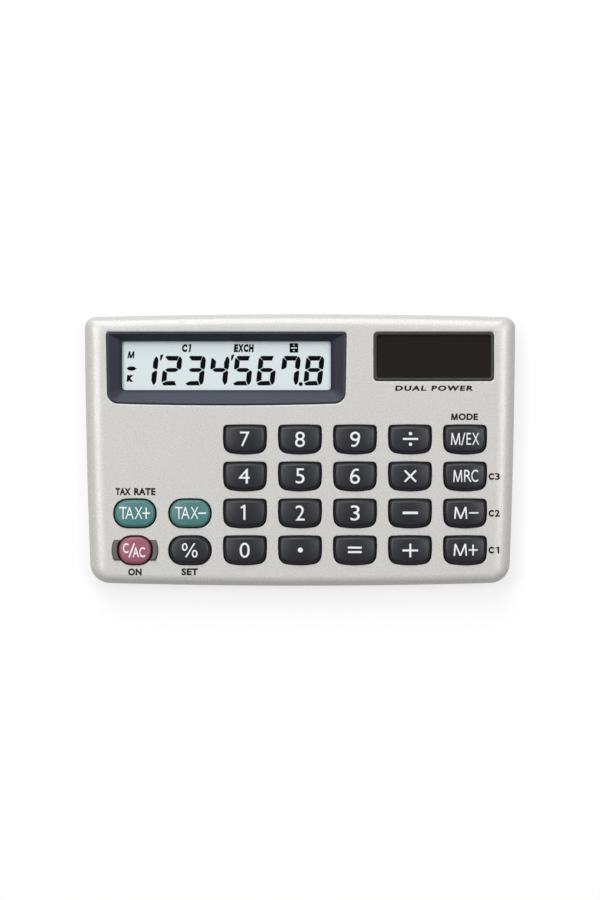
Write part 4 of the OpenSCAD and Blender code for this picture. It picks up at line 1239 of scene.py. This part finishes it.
# Battery cover
# A flat plate of the same grey ABS, moulded with a hook at one end that catches under the rear cover and a
# sunk hole at the other for its screw.
hatch_edge = 0.12
hatch_web = 0.3
web_z = hatch_t - hatch_web
ear_hole_r = screw_r + 0.15
ear = Vector((cell_mid.x, cell_mid.y + cell_r + 3.6))
hook_half = 2.9
hook_back = 1.5
hook_at = Vector((cell_mid.x, hatch_front))
bm = bmesh.new()
loops = [ring(bm, hatch_outline(-hatch_fit), hatch_t, hatch_at)]
loops += [ring(bm, hatch_outline(-hatch_fit - hatch_edge * gone), hatch_low + hatch_edge * left, hatch_at)
          for gone, left in quarter(4)]
bridge(bm, *loops)
bore = [ring(bm, circle(r), z, ear) for r, z in ((head_hole_r, hatch_low), (head_hole_r, web_z),
                                                 (ear_hole_r, web_z), (ear_hole_r, hatch_t))]
bridge(bm, *bore)
fill(bm, loops[-1], bore[0])
fill(bm, loops[0], bore[-1])
# The hook is a tab that rises from the plate and a tongue on it that reaches forward: front, foot and top.
for front, low, high in ((0.6, hatch_t - 0.1, floor_t + 0.3), (-0.8, floor_t + 0.1, floor_t + 0.6)):
    plan = [(-hook_half, front), (hook_half, front), (hook_half, hook_back), (-hook_half, hook_back)]
    prism(bm, [Vector(p) for p in plan], low, high, hook_at)
piece("hatch_plate", bm, rear_grey, stands_for=["battery_cover"], slot="rear_plastic", crease=50)

# Screws
# Five small pan-head screws with a cross recess, cold-headed from steel wire and zinc-plated. Four hold the
# two shells together and the fifth, with a thinner head, holds the battery cover.

# Zinc plate: a cool bright grey with a faint milky bloom.
zinc = grained("zinc_plated_steel", "#A3A6A9", "#B1B4B7", 0.3, 0.15, 0.002, Metallic=1.0)
tree, given = tree_for("pan_head_screws", ["Head Radius", "Head Height", "Shank Radius", "Length",
                                           "Slot Width"])
shares = {"brim": ("Head Radius", 0.86), "slot": ("Head Radius", 1.1), "slope": ("Head Height", 0.3),
          "half": ("Head Height", 0.5)}
part = {name: add(tree, "ShaderNodeMath", {0: given[size], 1: share}, operation="MULTIPLY").outputs["Value"]
        for name, (size, share) in shares.items()}
crest = add(tree, "GeometryNodeMeshCone", {
    "Vertices": 40, "Radius Bottom": part["brim"], "Radius Top": given["Head Radius"],
    "Depth": part["slope"]})
solids = [crest.outputs["Mesh"]]
for steps, radius, height, start in ((40, "Head Radius", "Head Height", "slope"),
                                     (24, "Shank Radius", "Length", "half")):
    rest = add(tree, "ShaderNodeMath", {0: given[height], 1: part[start]}, operation="SUBTRACT")
    stem = add(tree, "GeometryNodeMeshCone", {
        "Vertices": steps, "Radius Bottom": given[radius], "Radius Top": given[radius],
        "Depth": rest.outputs["Value"]})
    lift = add(tree, "ShaderNodeCombineXYZ", {"Z": part[start]})
    raised = add(tree, "GeometryNodeTransform", {
        "Geometry": stem.outputs["Mesh"], "Translation": lift.outputs["Vector"]})
    solids.append(raised.outputs["Geometry"])
blades = []
for x, y in ((part["slot"], given["Slot Width"]), (given["Slot Width"], part["slot"])):
    size = add(tree, "ShaderNodeCombineXYZ", {"X": x, "Y": y, "Z": given["Head Height"]})
    blades.append(add(tree, "GeometryNodeMeshCube", {"Size": size.outputs["Vector"]}).outputs["Mesh"])
whole = add(tree, "GeometryNodeMeshBoolean", operation="UNION", solver="EXACT")
for solid in solids:
    tree.links.new(solid, whole.inputs["Mesh 2"])
cross = add(tree, "GeometryNodeMeshBoolean", {"Mesh 1": whole.outputs["Mesh"]}, operation="DIFFERENCE",
            solver="EXACT")
for blade in blades:
    tree.links.new(blade, cross.inputs["Mesh 2"])
end_tree(tree, given["Places"], cross.outputs["Mesh"], zinc)
screw_sizes = {"Head Radius": head_r, "Head Height": 0.7, "Shank Radius": screw_r, "Slot Width": 0.35,
               "Length": screws_high.z - screws_low.z}
dress(run_tree("case_screw_set", tree, [(p.x, p.y, screws_low.z) for p in posts], screw_sizes),
      stands_for=["case_screws"], slot="screw_steel")
_, _, ear_low, ear_high = span("battery_cover_screw")
hatch_sizes = {**screw_sizes, "Head Height": 0.35, "Length": ear_high - ear_low}
dress(run_tree("hatch_screw", tree, [(ear.x, ear.y, ear_low)], hatch_sizes),
      stands_for=["battery_cover_screw"], slot="screw_steel")

# Floor, light and camera
# A plain white table under one large soft light from the back, with weaker ones high on the left and the
# right, seen from straight above.
bm = bmesh.new()
bmesh.ops.create_grid(bm, x_segments=1, y_segments=1, size=3.0)
data = bpy.data.meshes.new("table_top")
bm.to_mesh(data)
bm.free()
table_top = bpy.data.objects.new("table_top", data)
table_top.location.z = -0.2 * mm
scene.collection.objects.link(table_top)
# White card: it looks white to the eye and in reflections, and throws a plain, lower light on the object.
white, tree = material("white_card")
ray = add(tree, "ShaderNodeLightPath").outputs
seen = add(tree, "ShaderNodeMath", {0: ray["Is Camera Ray"], 1: ray["Is Glossy Ray"]}, operation="ADD")
seen = add(tree, "ShaderNodeMath", {0: seen.outputs["Value"], 1: ray["Is Transmission Ray"]}, operation="ADD")
glow = add(tree, "ShaderNodeMath", {0: seen.outputs["Value"], 1: 0.74}, operation="MULTIPLY")
shine = add(tree, "ShaderNodeEmission", {"Color": linear("#FFFFFF"), "Strength": glow.outputs["Value"]})
card = add(tree, "ShaderNodeBsdfDiffuse", {"Color": linear("#959594")})
both = add(tree, "ShaderNodeAddShader", {0: card.outputs["BSDF"], 1: shine.outputs["Emission"]})
add(tree, "ShaderNodeOutputMaterial", {"Surface": both.outputs["Shader"]})
data.materials.append(white)


def lamp(name, place, size, power):
    """Adds a square lamp that faces the object. Its place and size are in metres."""
    data = bpy.data.lights.new(name, "AREA")
    data.size = size
    data.energy = power
    made = bpy.data.objects.new(name, data)
    made.location = place
    made.rotation_euler = (-Vector(place)).to_track_quat("-Z", "Y").to_euler()
    scene.collection.objects.link(made)


lamp("back_light", (-0.2, 0.95, 0.9), 1.0, 11.3)
lamp("left_light", (-0.55, 0.15, 1.1), 0.45, 3.8)
lamp("right_light", (0.55, 0.15, 1.1), 0.45, 3.4)
world = bpy.data.worlds.new("studio")
scene.world = world
world.use_nodes = True
world.node_tree.nodes["Background"].inputs["Color"].default_value = linear("#F2F3F5")
world.node_tree.nodes["Background"].inputs["Strength"].default_value = 0.18
scene.view_settings.view_transform = "Standard"

view_h = 219.26
lens = bpy.data.cameras.new("camera")
lens.lens = 200
lens.sensor_width = 36
camera = bpy.data.objects.new("camera", lens)
camera.location = (0, 0, (view_h * lens.lens / lens.sensor_width + face_z) * mm)
scene.collection.objects.link(camera)
scene.camera = camera
